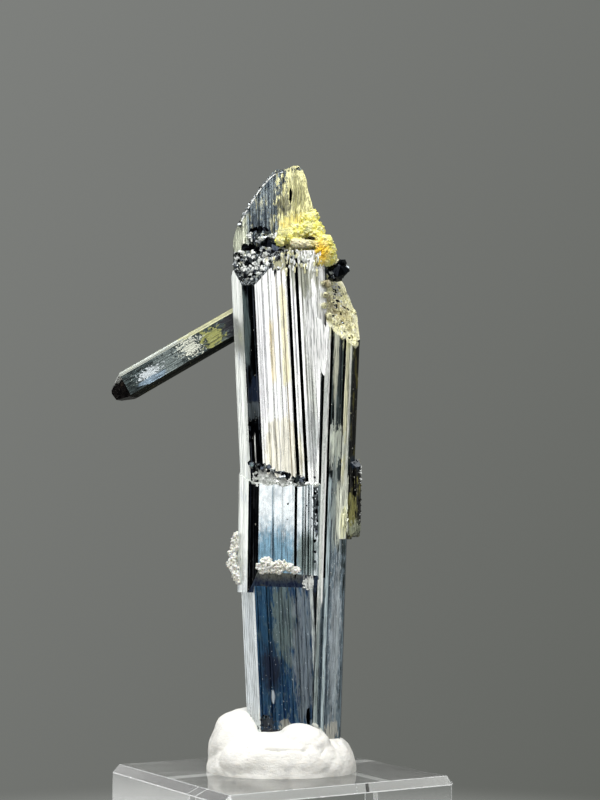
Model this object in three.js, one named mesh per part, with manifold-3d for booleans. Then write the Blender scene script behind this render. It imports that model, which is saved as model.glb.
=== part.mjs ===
// A stibnite specimen. A dark, silvery group of striated crystals stands upright, its foot pressed into a
// lump of white mounting putty on a clear acrylic display block. Yellow crust grows on its right shoulder,
// and white crust on its left edge and along a ledge across its front.
//
// Row frame: millimetres, origin at the centre of the block's underside, +Z up, X and Y along its sides.
// The specimen is turned on the block. Its own frame has +X to the right and +Y to the back for someone
// facing the broad striated side, and its heights count from the block's top face.

import * as THREE from "three";
import { mergeVertices } from "three/addons/utils/BufferGeometryUtils.js";
import Module from "manifold-3d";

const wasm = await Module();
wasm.setup();

// ---------------------------------------------------------------- driving dimensions

const BLOCK_SIDE = 31.75; // 1 1/4 in square
const BLOCK_HEIGHT = 19.05; // 3/4 in
const BLOCK_BEVEL = 0.95;
const SPECIMEN_TURN = THREE.MathUtils.degToRad(-30.8); // the specimen's front, turned from the block's
const SEAT_GAP = 0.3; // clearance between pieces that rest on or grow around one another
const CORNER_REACH = 1.35; // how far a corner moves out, for each unit that the sides beside it do
const FAR = 60; // longer than any crystal, for cutting bodies
const FOOT_HEIGHT = 2; // the crystals' broken foot, inside the putty

// Crystal stems. corners is the outline [x, y] at height `at`, counter-clockwise seen from above, the
// left edge first. lean and taper are the shift and the growth in x and y per millimetre of height.
// pitch and relief are the spacing and depth of the striations; slits are deep grooves [x, width, depth]
// in the front side, which runs from corner frontFrom to the next one. seed fixes the striations' scatter.
const UPPER_STEM = {
  corners: [
    [-5.35, -1.0], [-4.0, -3.6], [-2.35, -4.7], [5.4, -4.5], [6.6, -3.4],
    [7.0, 0.8], [4.6, 4.4], [0.6, 5.3], [-3.2, 4.2], [-5.2, 1.8],
  ],
  at: 46, bottom: 30, top: 64.9, lean: [-0.05, 0], taper: [0, 0], pitch: 0.95, relief: 0.16, seed: 11,
  frontFrom: 2,
  slits: [[-1.5, 0.25, 0.15], [-0.7, 0.2, 0.12], [1.75, 0.42, 0.45], [2.35, 0.2, 0.15], [2.8, 0.42, 0.5],
    [3.5, 0.25, 0.2], [4.2, 0.3, 0.25], [4.85, 0.25, 0.2]],
};
const MIDDLE_STEM = {
  corners: [
    [-5.35, -1.0], [-3.8, -3.8], [-2.65, -4.85], [4.9, -4.65], [6.2, -3.4],
    [6.8, 0.8], [4.5, 4.3], [0.6, 5.2], [-3.3, 4.1], [-5.2, 1.8],
  ],
  at: 30, bottom: 22, top: 38, lean: [0.01, 0], taper: [0, 0], pitch: 1.0, relief: 0.14, seed: 21,
  frontFrom: 2,
  slits: [[-0.75, 0.2, 0.12], [1.95, 0.35, 0.35], [2.9, 0.22, 0.15], [3.6, 0.25, 0.2]],
};
const LOWER_STEM = {
  corners: [
    [-4.35, -0.9], [-2.6, -4.2], [4.6, -4.1], [5.8, -2.8],
    [6.2, 0.8], [4.1, 4.0], [0.5, 4.9], [-2.9, 3.9], [-4.3, 1.6],
  ],
  at: 15, bottom: FOOT_HEIGHT, top: 28, lean: [-0.05, 0], taper: [0, 0], pitch: 1.05, relief: 0.12,
  seed: 27,
  frontFrom: 1,
  slits: [[-1.2, 0.18, 0.08], [2.4, 0.2, 0.1]],
};
const RIGHT_STEM = {
  corners: [
    [4.2, -3.4], [4.55, -4.5], [5.0, -4.75], [6.0, -4.4], [7.95, -2.3], [8.15, 0.6], [6.9, 3.1], [4.4, 3.7],
  ],
  at: 15, bottom: FOOT_HEIGHT, top: 63, lean: [0.035, 0.006], taper: [0, 0], pitch: 0.85, relief: 0.14,
  seed: 31,
  frontFrom: 2,
  slits: [[5.3, 0.28, 0.35], [5.7, 0.2, 0.15]],
};
const SHOULDERED_STEM = { ...RIGHT_STEM, top: 62.5 }; // the right stem's reach under its sloping shoulder
const OUTER_STEM = {
  corners: [
    [6.5, -2.9], [7.1, -3.45], [8.4, -3.3], [9.2, -2.4], [9.95, -0.9], [9.6, 1.6], [8.0, 2.9], [6.2, 2.4],
  ],
  at: 46, bottom: 28.6, top: 63, lean: [0.045, 0], taper: [0, 0], pitch: 0.7, relief: 0.14, seed: 41,
  frontFrom: 1,
  slits: [[7.3, 0.3, 0.3], [7.9, 0.3, 0.3]],
};
const TIP_STEM = {
  corners: [
    [-5.9, -0.4], [-4.6, -2.1], [5.3, -2.2], [5.6, 0.6], [4.4, 3.3], [0.2, 3.8], [-4.2, 3.2], [-5.9, 1.6],
  ],
  at: 62, bottom: 58, top: 79, lean: [-0.02, 0.03], taper: [0, -0.043], pitch: 0.8, relief: 0.16, seed: 61,
  frontFrom: 1,
  slits: [[-2.6, 0.25, 0.25], [0.6, 0.3, 0.3], [2.2, 0.3, 0.25]],
};
const EDGE_CRYSTAL = {
  corners: [[8.5, -1.9], [9.7, -2.1], [10.35, -1.0], [10.3, 0.4], [9.5, 1.5], [8.3, 1.2]],
  at: 34, bottom: 28.9, top: 38.8, lean: [0.01, 0], taper: [0, 0], pitch: 0.6, relief: 0.08, seed: 51,
  frontFrom: 1,
  slits: [[9.9, 0.2, 0.12]],
};

// The pointed end's outline [x, z] seen from the front.
const TIP_OUTLINE = [
  [-6.1, 58], [-6.05, 66.9], [-5.6, 68.5], [-4.2, 71.15], [-2.65, 73.7], [-1.0, 75.95], [-0.4, 76.45],
  [0.6, 76.4], [1.9, 76.95], [2.5, 76.95], [3.1, 76.2], [3.55, 74.9], [3.7, 73.5], [4.1, 72.2],
  [5.1, 68.5], [5.6, 58],
];

// Flat cuts on the stems: everything beyond the point, along the outward direction, is off.
const BROKEN_TOP = { point: [-3.05, -4.7, 60.0], out: [-1.07, -1.79, 1] };
const UPPER_STEM_CUTS = [
  BROKEN_TOP,
  { point: [0, 5.3, 58], out: [0, 0.7, 0.7] },
  { point: [-5.5, 2, 60.5], out: [-0.6, 0.5, 0.62] },
  { point: [0, -4.7, 35.1], out: [0.1, -0.4, -0.9] },
];
const MIDDLE_STEM_CUTS = [
  { point: [0, -4.8, 35.35], out: [0.03, -0.32, 0.95] },
  { point: [0, -4.8, 24.4], out: [0.05, 0.25, -0.97] },
];
const SHOULDER_CUT = { point: [10.4, 1.0, 56.3], out: [1.395, -1.237, 1] };
const OUTER_STEM_CUTS = [
  SHOULDER_CUT,
  { point: [9.3, -0.5, 28.6], out: [0.5, -0.25, -0.83] },
];
const EDGE_CRYSTAL_CUTS = [
  { point: [9.4, -1, 38.6], out: [0.55, -0.45, 0.7] },
  { point: [10.1, -0.6, 29.4], out: [0.6, -0.3, -0.75] },
];
const RIGHT_FOOT_CUT = { point: [5.4, -4.6, 5.4], out: [-0.5, -0.6, -0.62] };

// The fracture that crosses the front: a wedge [x, z] cut back from the front face to fractureFloor.
const FRACTURE_WEDGE = [
  [-5.6, 35.4], [3.5, 35.25], [1.4, 35.55], [-0.5, 36.4], [-2.1, 37.2], [-3.4, 37.7], [-5.6, 38.5],
];
const FRACTURE_FLOOR = -3.95; // y of the wedge's back wall

// The long side crystal that juts out to the left: its axis, from inside the stem to its point, and its
// outline [up, forward] across the axis. An end facet is a cut that faces [along, up, forward] and crosses
// the axis that far back from the point.
const SPUR = {
  root: new THREE.Vector3(-3.3, 1.7, 57.9),
  point: new THREE.Vector3(-21.15, -3.1, 46.6),
  corners: [
    [1.95, 0.1], [1.35, 1.15], [-1.25, 1.3], [-1.9, 0.55], [-1.75, -0.7], [-0.7, -1.4], [1.0, -1.35],
    [1.8, -0.7],
  ],
  pitch: 0.75, relief: 0.09, seed: 83,
  endFacets: [
    { back: -1.0, out: [0.46, 0.89, 0] },
    { back: 1.0, out: [0.76, 0, 0.65] },
    { back: 0.23, out: [0.91, -0.41, 0] },
    { back: -0.2, out: [0.6, -0.8, 0.1] },
    { back: -0.4, out: [0.7, 0.1, -0.7] },
  ],
};

// Rubble heaped on the upper stem's slanting broken top and up against the tip behind it. The stem's front
// narrows from its left edge, so the heap's front line slants from leftFront to front.
const RUBBLE = {
  left: -5.7, right: 0.2, leftFront: -1.3, front: -4.3, slant: 1.2, back: -1.9, peak: 67,
  count: 36, size: [0.55, 1.0], seed: 17,
};
const KNOB = { centre: [7.05, 1.0, 63.1], size: [1.8, 1.6, 1.85], seed: 29 };

// Lumps and pits [x, y, size] on the shoulder's slope, and pits [x, y, z, size] in the stems' faces.
const SHOULDER_LUMPS = [[5.9, -3.0, 0.8], [6.4, 0.6, 1.2], [6.2, -1.2, 0.9], [7.4, 1.6, 0.9]];
const SHOULDER_PITS = [
  [7.3, -1.7, 0.42], [8.0, -0.9, 0.5], [7.0, -0.5, 0.42], [8.9, -1.0, 0.36], [7.9, 0.4, 0.4],
  [7.6, -2.6, 0.38], [9.2, 0.3, 0.38], [6.7, -2.3, 0.4], [8.4, 1.5, 0.36],
];
const FACE_PITS = [
  [-3.2, -4.2, 42.2, 0.4], [-2.7, -4.5, 43.6, 0.34], [-3.4, -4.1, 40.6, 0.36], [-2.6, -4.6, 39.4, 0.3],
  [4.3, -4.6, 35.2, 0.4], [4.5, -4.7, 33.6, 0.34], [4.3, -4.7, 31.6, 0.36], [4.0, -4.7, 29.8, 0.3],
];

const LUMP_STRETCH = [0.9, 1, 1.1]; // a lump's size along x, y and z, as shares of its listed size

// Crust lumps [x, y, z, size].
const YELLOW_LUMPS = [
  [4.8, -2.3, 69.1, 1.5], [5.2, -2.1, 70.2, 1.0], [4.2, -2.6, 67.9, 1.5], [5.3, -2.3, 67.7, 1.4],
  [1.4, -2.8, 66.9, 1.15], [2.7, -2.7, 67.4, 1.25], [3.4, -2.9, 66.6, 1.2], [0.6, -2.8, 66.6, 0.9],
  [5.9, -2.1, 66.4, 1.45], [6.0, -2.2, 65.2, 1.75], [6.2, -2.2, 64.2, 1.45], [4.9, -2.8, 66.1, 1.2],
];
const WHITE_EDGE_LUMPS = [
  [-5.75, -0.9, 28.9, 0.6], [-5.95, -0.7, 27.9, 0.75], [-6.05, -0.6, 26.6, 0.85], [-6.1, -0.8, 25.4, 0.8],
  [-5.8, -1.2, 24.3, 0.8], [-5.3, -1.4, 23.2, 0.75], [-5.7, 0.1, 26.0, 0.9], [-5.55, 0.1, 24.7, 0.8],
];
const WHITE_LEDGE_LUMPS = [
  [-1.9, -5.05, 25.3, 0.62], [-1.2, -5.1, 25.7, 0.7], [-0.4, -5.05, 25.2, 0.72], [0.4, -5.1, 25.6, 0.7],
  [1.2, -5.05, 25.1, 0.68], [1.9, -5.0, 24.8, 0.62],
];

// Mounting putty: lobes [x, y, z, rx, ry, rz], flattened where they meet the block.
const PUTTY_LOBES = [
  [0.3, -0.4, 0.2, 9.2, 8.3, 5.3],
  [-5.1, 1.0, 2.5, 4.0, 5.6, 5.0],
  [5.3, -0.8, 0.9, 4.3, 6.4, 3.7],
  [0.6, -4.6, 2.2, 6.6, 3.7, 3.3],
  [0.6, 4.2, 1.8, 5.8, 3.8, 4.4],
];
const PUTTY_SWELL = { height: 0.045, turns: [3.1, 2.7, 2.0] }; // the kneaded skin's waves along x, y and z
const PUTTY_CREASE = { centre: [-1.4, -8.6, 3.0], length: 6.2, depth: 1.1, opening: 0.55 };
const PUTTY_DIMPLES = [[5.6, -5.6, 5.2, 1.3], [8.0, -3.2, 4.3, 1.0], [3.4, -7.2, 3.6, 0.8]];

// Seeds for the lumps' turns and stretches, which come out the same each time.
const SEEDS = {
  shoulderLumps: 37, shoulderPits: 43, facePits: 47, dimples: 71,
  yellowCrust: 97, whiteEdgeCrust: 101, whiteLedgeCrust: 103,
};

// ---------------------------------------------------------------- materials

const material = (color, roughness, metalness, extra = {}) =>
  new THREE.MeshStandardMaterial({ color, roughness, metalness, flatShading: true, ...extra });

const STIBNITE = material(0x6f7c8c, 0.28, 0.85);
const YELLOW_CRUST = material(0xd9b53a, 0.85, 0);
const WHITE_CRUST = material(0xd8d6c8, 0.9, 0);
const PUTTY = material(0xe6e3dc, 0.75, 0);
const CLEAR_ACRYLIC = material(0xf2f6f8, 0.03, 0, { transparent: true, opacity: 0.3 });

// ---------------------------------------------------------------- solids

// A repeatable series of numbers from 0 to 1.
function randomFrom(seed) {
  let state = seed;
  return () => {
    state = (state * 1664525 + 1013904223) % 4294967296;
    return state / 4294967296;
  };
}

// The manifold solid of a closed three.js geometry.
function solidOf(geometry) {
  const bare = geometry.clone();
  bare.deleteAttribute("normal");
  bare.deleteAttribute("uv");
  const merged = mergeVertices(bare, 1e-4);
  return new wasm.Manifold(
    new wasm.Mesh({
      numProp: 3,
      vertProperties: new Float32Array(merged.attributes.position.array),
      triVerts: new Uint32Array(merged.index.array),
    }),
  );
}

// A named mesh of a solid.
function meshOf(name, solid, look) {
  const { vertProperties, triVerts } = solid.getMesh();
  const geometry = new THREE.BufferGeometry();
  geometry.setAttribute("position", new THREE.BufferAttribute(vertProperties, 3));
  geometry.setIndex(new THREE.BufferAttribute(triVerts, 1));
  geometry.computeVertexNormals();
  const mesh = new THREE.Mesh(geometry, look);
  mesh.name = name;
  return mesh;
}

const joined = (solids) => solids.reduce((whole, next) => whole.add(next));
const cutFrom = (solid, cutters) => cutters.reduce((left, cutter) => left.subtract(cutter), solid);

// The rotation that takes the z axis to a direction.
function turnTo(direction) {
  return new THREE.Matrix4().makeRotationFromQuaternion(
    new THREE.Quaternion().setFromUnitVectors(new THREE.Vector3(0, 0, 1), direction.clone().normalize()),
  );
}

// A large block that holds everything beyond a plane.
function beyondPlane({ point, out }) {
  const direction = new THREE.Vector3(...out);
  const block = new THREE.BoxGeometry(FAR, FAR, FAR);
  block.translate(0, 0, FAR / 2);
  block.applyMatrix4(turnTo(direction));
  block.translate(...point);
  return solidOf(block);
}

// A faceted lump: a turned, stretched icosahedron.
function lump([x, y, z], [sx, sy, sz], random) {
  const ball = new THREE.IcosahedronGeometry(1, 0);
  ball.rotateX(random() * Math.PI);
  ball.rotateZ(random() * Math.PI);
  ball.scale(sx, sy, sz);
  ball.translate(x, y, z);
  return solidOf(ball);
}

// Lumps of a list [x, y, z, size], each a little longer one way than the other.
function lumps(list, seed) {
  const random = randomFrom(seed);
  return list.map(([x, y, z, size]) => {
    const stretch = LUMP_STRETCH.map((share) => size * share * (0.92 + 0.16 * random()));
    return lump([x, y, z], stretch, random);
  });
}

// ---------------------------------------------------------------- striated crystals

// Side points with grooves cut in: from start to end, each groove [distance, width, depth] is a V.
function groovedSide(start, end, grooves) {
  const along = end.clone().sub(start).normalize();
  const inward = new THREE.Vector2(-along.y, along.x);
  const pointAt = (distance, depth) =>
    start.clone().addScaledVector(along, distance).addScaledVector(inward, depth);
  const points = [start];
  for (const [distance, width, depth] of grooves) {
    const reach = width / 2;
    points.push(pointAt(distance - reach, 0), pointAt(distance, depth), pointAt(distance + reach, 0));
  }
  return points;
}

// Evenly pitched grooves along a side, each a little off its place and depth.
function pitchedGrooves(length, pitch, relief, random) {
  const count = Math.floor(length / pitch);
  return Array.from({ length: count }, (_, index) => {
    const place = ((index + 0.5) / count) * length + (random() - 0.5) * 0.2 * pitch;
    return [place, pitch * (0.45 + 0.25 * random()), relief * (0.5 + random())];
  });
}

// The striated outline of a crystal, as a list of points.
function striatedOutline({ corners, pitch, relief, seed, frontFrom = -1, slits = [] }) {
  const random = randomFrom(seed);
  const points = corners.map(([x, y]) => new THREE.Vector2(x, y));
  return points.flatMap((start, index) => {
    const end = points[(index + 1) % points.length];
    const isFront = index === frontFrom;
    const grooves = isFront
      ? slits.map(([x, width, depth]) => [x - start.x, width, depth])
      : pitchedGrooves(start.distanceTo(end), pitch, relief, random);
    return groovedSide(start, end, grooves);
  });
}

// A stem's prism over a given outline, leaning and tapering as the stem does.
function leaningPrism(outline, { at, lean, taper }, bottom, top) {
  const prism = new THREE.ExtrudeGeometry(new THREE.Shape(outline), {
    depth: top - bottom,
    steps: 1,
    bevelEnabled: false,
  });
  prism.translate(0, 0, bottom);
  const position = prism.attributes.position;
  for (let index = 0; index < position.count; index += 1) {
    const rise = position.getZ(index) - at;
    position.setX(index, position.getX(index) * (1 + taper[0] * rise) + lean[0] * rise);
    position.setY(index, position.getY(index) * (1 + taper[1] * rise) + lean[1] * rise);
  }
  return solidOf(prism);
}

const crystalStem = (stem) => leaningPrism(striatedOutline(stem), stem, stem.bottom, stem.top);

// The room that a stem takes with the seat gap all round, for cutting what grows or closes around it. The
// corners move out by a little more than the gap, so that the sides between them move out by the gap.
function roomFor(stem) {
  const middle = stem.corners
    .reduce((sum, [x, y]) => sum.add(new THREE.Vector2(x, y)), new THREE.Vector2())
    .divideScalar(stem.corners.length);
  const outline = stem.corners.map(([x, y]) => {
    const corner = new THREE.Vector2(x, y);
    const outward = corner.clone().sub(middle).normalize();
    return corner.addScaledVector(outward, SEAT_GAP * CORNER_REACH);
  });
  return leaningPrism(outline, stem, stem.bottom - SEAT_GAP, stem.top + SEAT_GAP);
}

// The pointed end: a striated stem that thins upwards, kept inside its front outline.
function pointedTip() {
  const outline = new THREE.ExtrudeGeometry(
    new THREE.Shape(TIP_OUTLINE.map(([x, z]) => new THREE.Vector2(x, z))),
    { depth: FAR, steps: 1, bevelEnabled: false },
  );
  outline.rotateX(Math.PI / 2);
  outline.translate(0, FAR / 2, 0);
  return crystalStem(TIP_STEM).intersect(solidOf(outline));
}

// A wedge-shaped notch across the front, below the upper stem's broken edge.
function fractureNotch() {
  const wedge = new THREE.ExtrudeGeometry(
    new THREE.Shape(FRACTURE_WEDGE.map(([x, z]) => new THREE.Vector2(x, z))),
    { depth: FAR, steps: 1, bevelEnabled: false },
  );
  wedge.rotateX(Math.PI / 2);
  wedge.translate(0, FRACTURE_FLOOR, 0);
  return solidOf(wedge);
}

// The side crystal, built along z and then turned onto its axis.
function spurCrystal() {
  const axis = SPUR.point.clone().sub(SPUR.root);
  const length = axis.length();
  const prism = new THREE.ExtrudeGeometry(
    new THREE.Shape(striatedOutline(SPUR)),
    { depth: length, steps: 1, bevelEnabled: false },
  );
  const facets = SPUR.endFacets.map(({ back, out: [along, up, forward] }) =>
    beyondPlane({ point: [0, 0, length - back], out: [up, forward, along] }),
  );
  const alongAxis = axis.normalize();
  const forward = new THREE.Vector3(0, -1, 0).addScaledVector(alongAxis, alongAxis.y).normalize();
  const up = new THREE.Vector3().crossVectors(forward, alongAxis);
  const frame = new THREE.Matrix4().makeBasis(up, forward, alongAxis).setPosition(SPUR.root);
  return cutFrom(solidOf(prism), facets).transform(frame.toArray());
}

// The height of a slanting cut above a point.
function cutHeight({ point, out }, x, y) {
  return point[2] - (out[0] * (x - point[0]) + out[1] * (y - point[1])) / out[2];
}

const onShoulder = ([x, y, size]) => [x, y, cutHeight(SHOULDER_CUT, x, y), size];

// Broken pieces lying on the stem's slanting top, in a hollow slope that rises to the tip behind. grow is
// how much larger each one is made, for cutting the room that they take.
function rubble(grow) {
  const { left, right, leftFront, front, slant, back, peak, count, size, seed } = RUBBLE;
  const random = randomFrom(seed);
  return Array.from({ length: count }, () => {
    const x = left + random() * (right - left);
    const nearest = Math.max(front, leftFront - slant * (x - left));
    const stepBack = random();
    const y = nearest + stepBack * (back - nearest);
    const floor = Math.min(cutHeight(BROKEN_TOP, x, nearest), UPPER_STEM.top);
    const z = floor + stepBack ** 1.5 * (peak - floor);
    const across = size[0] + random() * (size[1] - size[0]);
    return lump([x, y, z], [across + grow, across * 0.8 + grow, across * 1.1 + grow], random);
  });
}

const knob = (grow) =>
  lump(KNOB.centre, KNOB.size.map((radius) => radius + grow), randomFrom(KNOB.seed));

// Every stibnite crystal, grown together as one solid.
function stibniteCrystals() {
  const upper = cutFrom(crystalStem(UPPER_STEM), UPPER_STEM_CUTS.map(beyondPlane));
  const right = cutFrom(crystalStem(RIGHT_STEM), [SHOULDER_CUT, RIGHT_FOOT_CUT].map(beyondPlane));
  const outer = cutFrom(crystalStem(OUTER_STEM), OUTER_STEM_CUTS.map(beyondPlane));
  const edge = cutFrom(crystalStem(EDGE_CRYSTAL), EDGE_CRYSTAL_CUTS.map(beyondPlane));
  const group = joined([
    upper,
    cutFrom(crystalStem(MIDDLE_STEM), MIDDLE_STEM_CUTS.map(beyondPlane)),
    crystalStem(LOWER_STEM),
    right,
    outer,
    edge,
    pointedTip(),
    spurCrystal(),
    knob(0),
    ...rubble(0),
    ...lumps(SHOULDER_LUMPS.map(onShoulder), SEEDS.shoulderLumps),
  ]);
  const shoulderPits = lumps(SHOULDER_PITS.map(onShoulder), SEEDS.shoulderPits);
  const facePits = lumps(FACE_PITS, SEEDS.facePits);
  return cutFrom(group, [fractureNotch(), ...shoulderPits, ...facePits]);
}

// ---------------------------------------------------------------- crusts, putty and block

// Crust lumps, cut back to leave the seat gap around the stems that they grow on.
const crust = (list, seed, carriers) => cutFrom(joined(lumps(list, seed)), carriers);

// One rounded lobe of putty with a hand-kneaded, slightly lumpy skin.
function puttyLobe([x, y, z, rx, ry, rz]) {
  const ball = new THREE.SphereGeometry(1, 20, 12);
  const merged = mergeVertices(ball.deleteAttribute("normal").deleteAttribute("uv"), 1e-4);
  const position = merged.attributes.position;
  const { height, turns: [alongX, alongY, alongZ] } = PUTTY_SWELL;
  const point = new THREE.Vector3();
  for (let index = 0; index < position.count; index += 1) {
    point.fromBufferAttribute(position, index);
    const wave = Math.sin(alongX * point.x + x) * Math.cos(alongY * point.y - alongZ * point.z);
    position.setXYZ(index, ...point.multiplyScalar(1 + height * wave).toArray());
  }
  merged.scale(rx, ry, rz);
  merged.translate(x, y, z);
  return solidOf(merged);
}

// The crease in the putty's front, a flat lens that opens towards the front.
function puttyCrease() {
  const { centre, length, depth, opening } = PUTTY_CREASE;
  const lens = new THREE.SphereGeometry(1, 16, 8);
  lens.scale(length / 2, depth, opening / 2);
  lens.translate(...centre);
  return solidOf(lens);
}

function mountingPutty() {
  const underside = beyondPlane({ point: [0, 0, SEAT_GAP], out: [0, 0, -1] });
  const sockets = [LOWER_STEM, RIGHT_STEM].map(roomFor);
  const dimples = lumps(PUTTY_DIMPLES, SEEDS.dimples);
  return cutFrom(joined(PUTTY_LOBES.map(puttyLobe)), [underside, ...sockets, puttyCrease(), ...dimples]);
}

// The block: a square slab with every edge bevelled.
function displayBlock() {
  const half = BLOCK_SIDE / 2 - BLOCK_BEVEL;
  const square = new THREE.Shape(
    [[-half, -half], [half, -half], [half, half], [-half, half]].map(([x, y]) => new THREE.Vector2(x, y)),
  );
  const slab = new THREE.ExtrudeGeometry(square, {
    depth: BLOCK_HEIGHT - 2 * BLOCK_BEVEL,
    steps: 1,
    bevelEnabled: true,
    bevelSize: BLOCK_BEVEL,
    bevelThickness: BLOCK_BEVEL,
    bevelSegments: 1,
  });
  slab.translate(0, 0, BLOCK_BEVEL);
  return solidOf(slab);
}

// ---------------------------------------------------------------- assembly

const yellowCarriers = [
  roomFor(TIP_STEM), roomFor(UPPER_STEM), roomFor(SHOULDERED_STEM), knob(SEAT_GAP), ...rubble(SEAT_GAP),
];
const whiteCarriers = [MIDDLE_STEM, LOWER_STEM].map(roomFor);

const specimen = new THREE.Group();
specimen.rotation.z = SPECIMEN_TURN;
specimen.position.z = BLOCK_HEIGHT;
specimen.add(
  meshOf("stibnite_crystals", stibniteCrystals(), STIBNITE),
  meshOf("yellow_crust", crust(YELLOW_LUMPS, SEEDS.yellowCrust, yellowCarriers), YELLOW_CRUST),
  meshOf("white_edge_crust", crust(WHITE_EDGE_LUMPS, SEEDS.whiteEdgeCrust, whiteCarriers), WHITE_CRUST),
  meshOf("white_ledge_crust", crust(WHITE_LEDGE_LUMPS, SEEDS.whiteLedgeCrust, whiteCarriers), WHITE_CRUST),
  meshOf("mounting_putty", mountingPutty(), PUTTY),
);

const part = new THREE.Group();
part.add(meshOf("display_block", displayBlock(), CLEAR_ACRYLIC), specimen);

export default part;
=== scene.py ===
"""A stibnite specimen, dressed and lit on its block.

A dark, silvery group of striated crystals stands with its foot in white putty on a clear acrylic block.
Yellow crust grows on its right shoulder, and white crust on its left edge and along a ledge in front.

Sizes are in millimetres. The specimen has a frame of its own, turned on the block: +X to the right and +Y
to the back for someone facing its broad striated side, with heights counted from the block's top face.
"""

import logging
import math
import random
from dataclasses import dataclass
from enum import Enum

import bmesh
import bpy
from mathutils import Euler, Matrix, Vector, noise

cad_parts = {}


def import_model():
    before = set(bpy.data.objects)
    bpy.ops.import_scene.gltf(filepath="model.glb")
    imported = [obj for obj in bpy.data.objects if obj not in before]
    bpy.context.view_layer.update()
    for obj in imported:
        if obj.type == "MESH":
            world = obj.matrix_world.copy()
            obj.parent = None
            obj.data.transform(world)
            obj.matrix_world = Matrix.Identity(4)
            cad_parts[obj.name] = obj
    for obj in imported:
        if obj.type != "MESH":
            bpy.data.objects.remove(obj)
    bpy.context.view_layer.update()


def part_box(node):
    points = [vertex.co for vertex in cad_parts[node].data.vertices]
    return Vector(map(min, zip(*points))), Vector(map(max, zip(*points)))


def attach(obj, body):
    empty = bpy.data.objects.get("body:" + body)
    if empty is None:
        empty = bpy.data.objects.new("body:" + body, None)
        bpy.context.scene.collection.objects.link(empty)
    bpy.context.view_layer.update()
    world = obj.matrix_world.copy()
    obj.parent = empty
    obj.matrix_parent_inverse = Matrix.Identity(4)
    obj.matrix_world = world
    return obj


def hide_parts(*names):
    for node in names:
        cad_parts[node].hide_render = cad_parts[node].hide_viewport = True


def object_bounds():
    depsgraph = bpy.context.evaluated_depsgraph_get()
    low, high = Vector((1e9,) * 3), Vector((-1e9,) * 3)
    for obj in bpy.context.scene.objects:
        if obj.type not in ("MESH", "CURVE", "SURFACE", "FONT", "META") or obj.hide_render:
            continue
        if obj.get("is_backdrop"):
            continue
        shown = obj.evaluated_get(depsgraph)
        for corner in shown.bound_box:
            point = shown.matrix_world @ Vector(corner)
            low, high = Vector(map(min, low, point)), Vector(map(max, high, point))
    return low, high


LOG = logging.getLogger("stibnite_specimen")

Pair = tuple[float, float]
Triple = tuple[float, float, float]
Quad = tuple[float, float, float, float]
Solid = bmesh.types.BMesh
Socket = bpy.types.NodeSocket

MM = 0.001  # metres in a millimetre
SPECIMEN_TURN = math.radians(-30.8)  # the specimen's front, turned from the block's
WELD = 1e-5
FAR = 60.0  # longer than any crystal, for cutting bodies
UNEVENNESS = 0.22  # of a grain, as a share of its radius
LUMPINESS = 1.4  # waves of a grain's unevenness in its radius
ORIGIN = (0.0, 0.0, 0.0)
UNSCALED = (1.0, 1.0, 1.0)
UNTURNED = Matrix.Identity(3)


class Skin(Enum):
    """The finishes of the crystal faces, in the order of the crystals' materials. Many are the one lead-grey
    stibnite painted in lit and shaded copies: near-white and partly matte on faces that catch the light,
    near-black or dark blue on faces that reflect the dark room, in slits and in hollows, so painted highlight
    and painted shade; the crusts and coatings keep their own colours.
    """

    SILVER = 0
    FADING = 1
    PALE = 2
    BLACK = 3
    NAVY = 4
    UNDERCUT = 5
    STEEL = 6
    BRIGHT = 7
    RIBBED = 8
    OUTER = 9
    EDGE = 10
    TIP = 11
    RIM = 12
    SPUR = 13
    SPUR_TOP = 14
    SPUR_UNDER = 15
    GLINT = 16
    CHALK = 17
    SHOULDER = 18
    SPUR_END = 19


class Combine(Enum):
    """How one solid is put together with others."""

    JOIN = "UNION"
    CUT = "DIFFERENCE"
    KEEP_COMMON = "INTERSECT"


# ------------ solids


def block_height() -> float:
    """The height of the block's top face, in millimetres."""
    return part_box("display_block")[1].z / MM


def specimen_frame() -> Matrix:
    """The matrix from the specimen's millimetres to the row frame's metres."""
    turn = Matrix.Rotation(SPECIMEN_TURN, 4, "Z")
    return Matrix.Scale(MM, 4) @ Matrix.Translation((0, 0, block_height())) @ turn


def vertices_of(result: dict) -> list[bmesh.types.BMVert]:
    """The vertices that a bmesh operator returned under geom."""
    return [item for item in result["geom"] if isinstance(item, bmesh.types.BMVert)]


def solid_object(name: str, solid: Solid, materials: tuple[bpy.types.Material, ...] = ()) -> bpy.types.Object:
    """Puts a solid in an object of the scene and frees it.

    Args:
        name: The object's name.
        solid: The solid, which is used up.
        materials: Its materials, in the order of its faces' skins.

    Returns:
        The new object.
    """
    mesh = bpy.data.meshes.new(name)
    solid.to_mesh(mesh)
    solid.free()
    for material in materials:
        mesh.materials.append(material)
    piece = bpy.data.objects.new(name, mesh)
    bpy.context.scene.collection.objects.link(piece)
    return piece


def discard(piece: bpy.types.Object) -> None:
    """Deletes an object with its mesh.

    Args:
        piece: The object.
    """
    mesh = piece.data
    bpy.data.objects.remove(piece)
    bpy.data.meshes.remove(mesh)


def baked(piece: bpy.types.Object) -> Solid:
    """Applies an object's modifiers and deletes the object.

    Args:
        piece: The object, with its modifiers live.

    Returns:
        The finished solid.
    """
    graph = bpy.context.evaluated_depsgraph_get()
    shaped = piece.evaluated_get(graph)
    solid = bmesh.new()
    solid.from_mesh(shaped.to_mesh())
    shaped.to_mesh_clear()
    discard(piece)
    return solid


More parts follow.
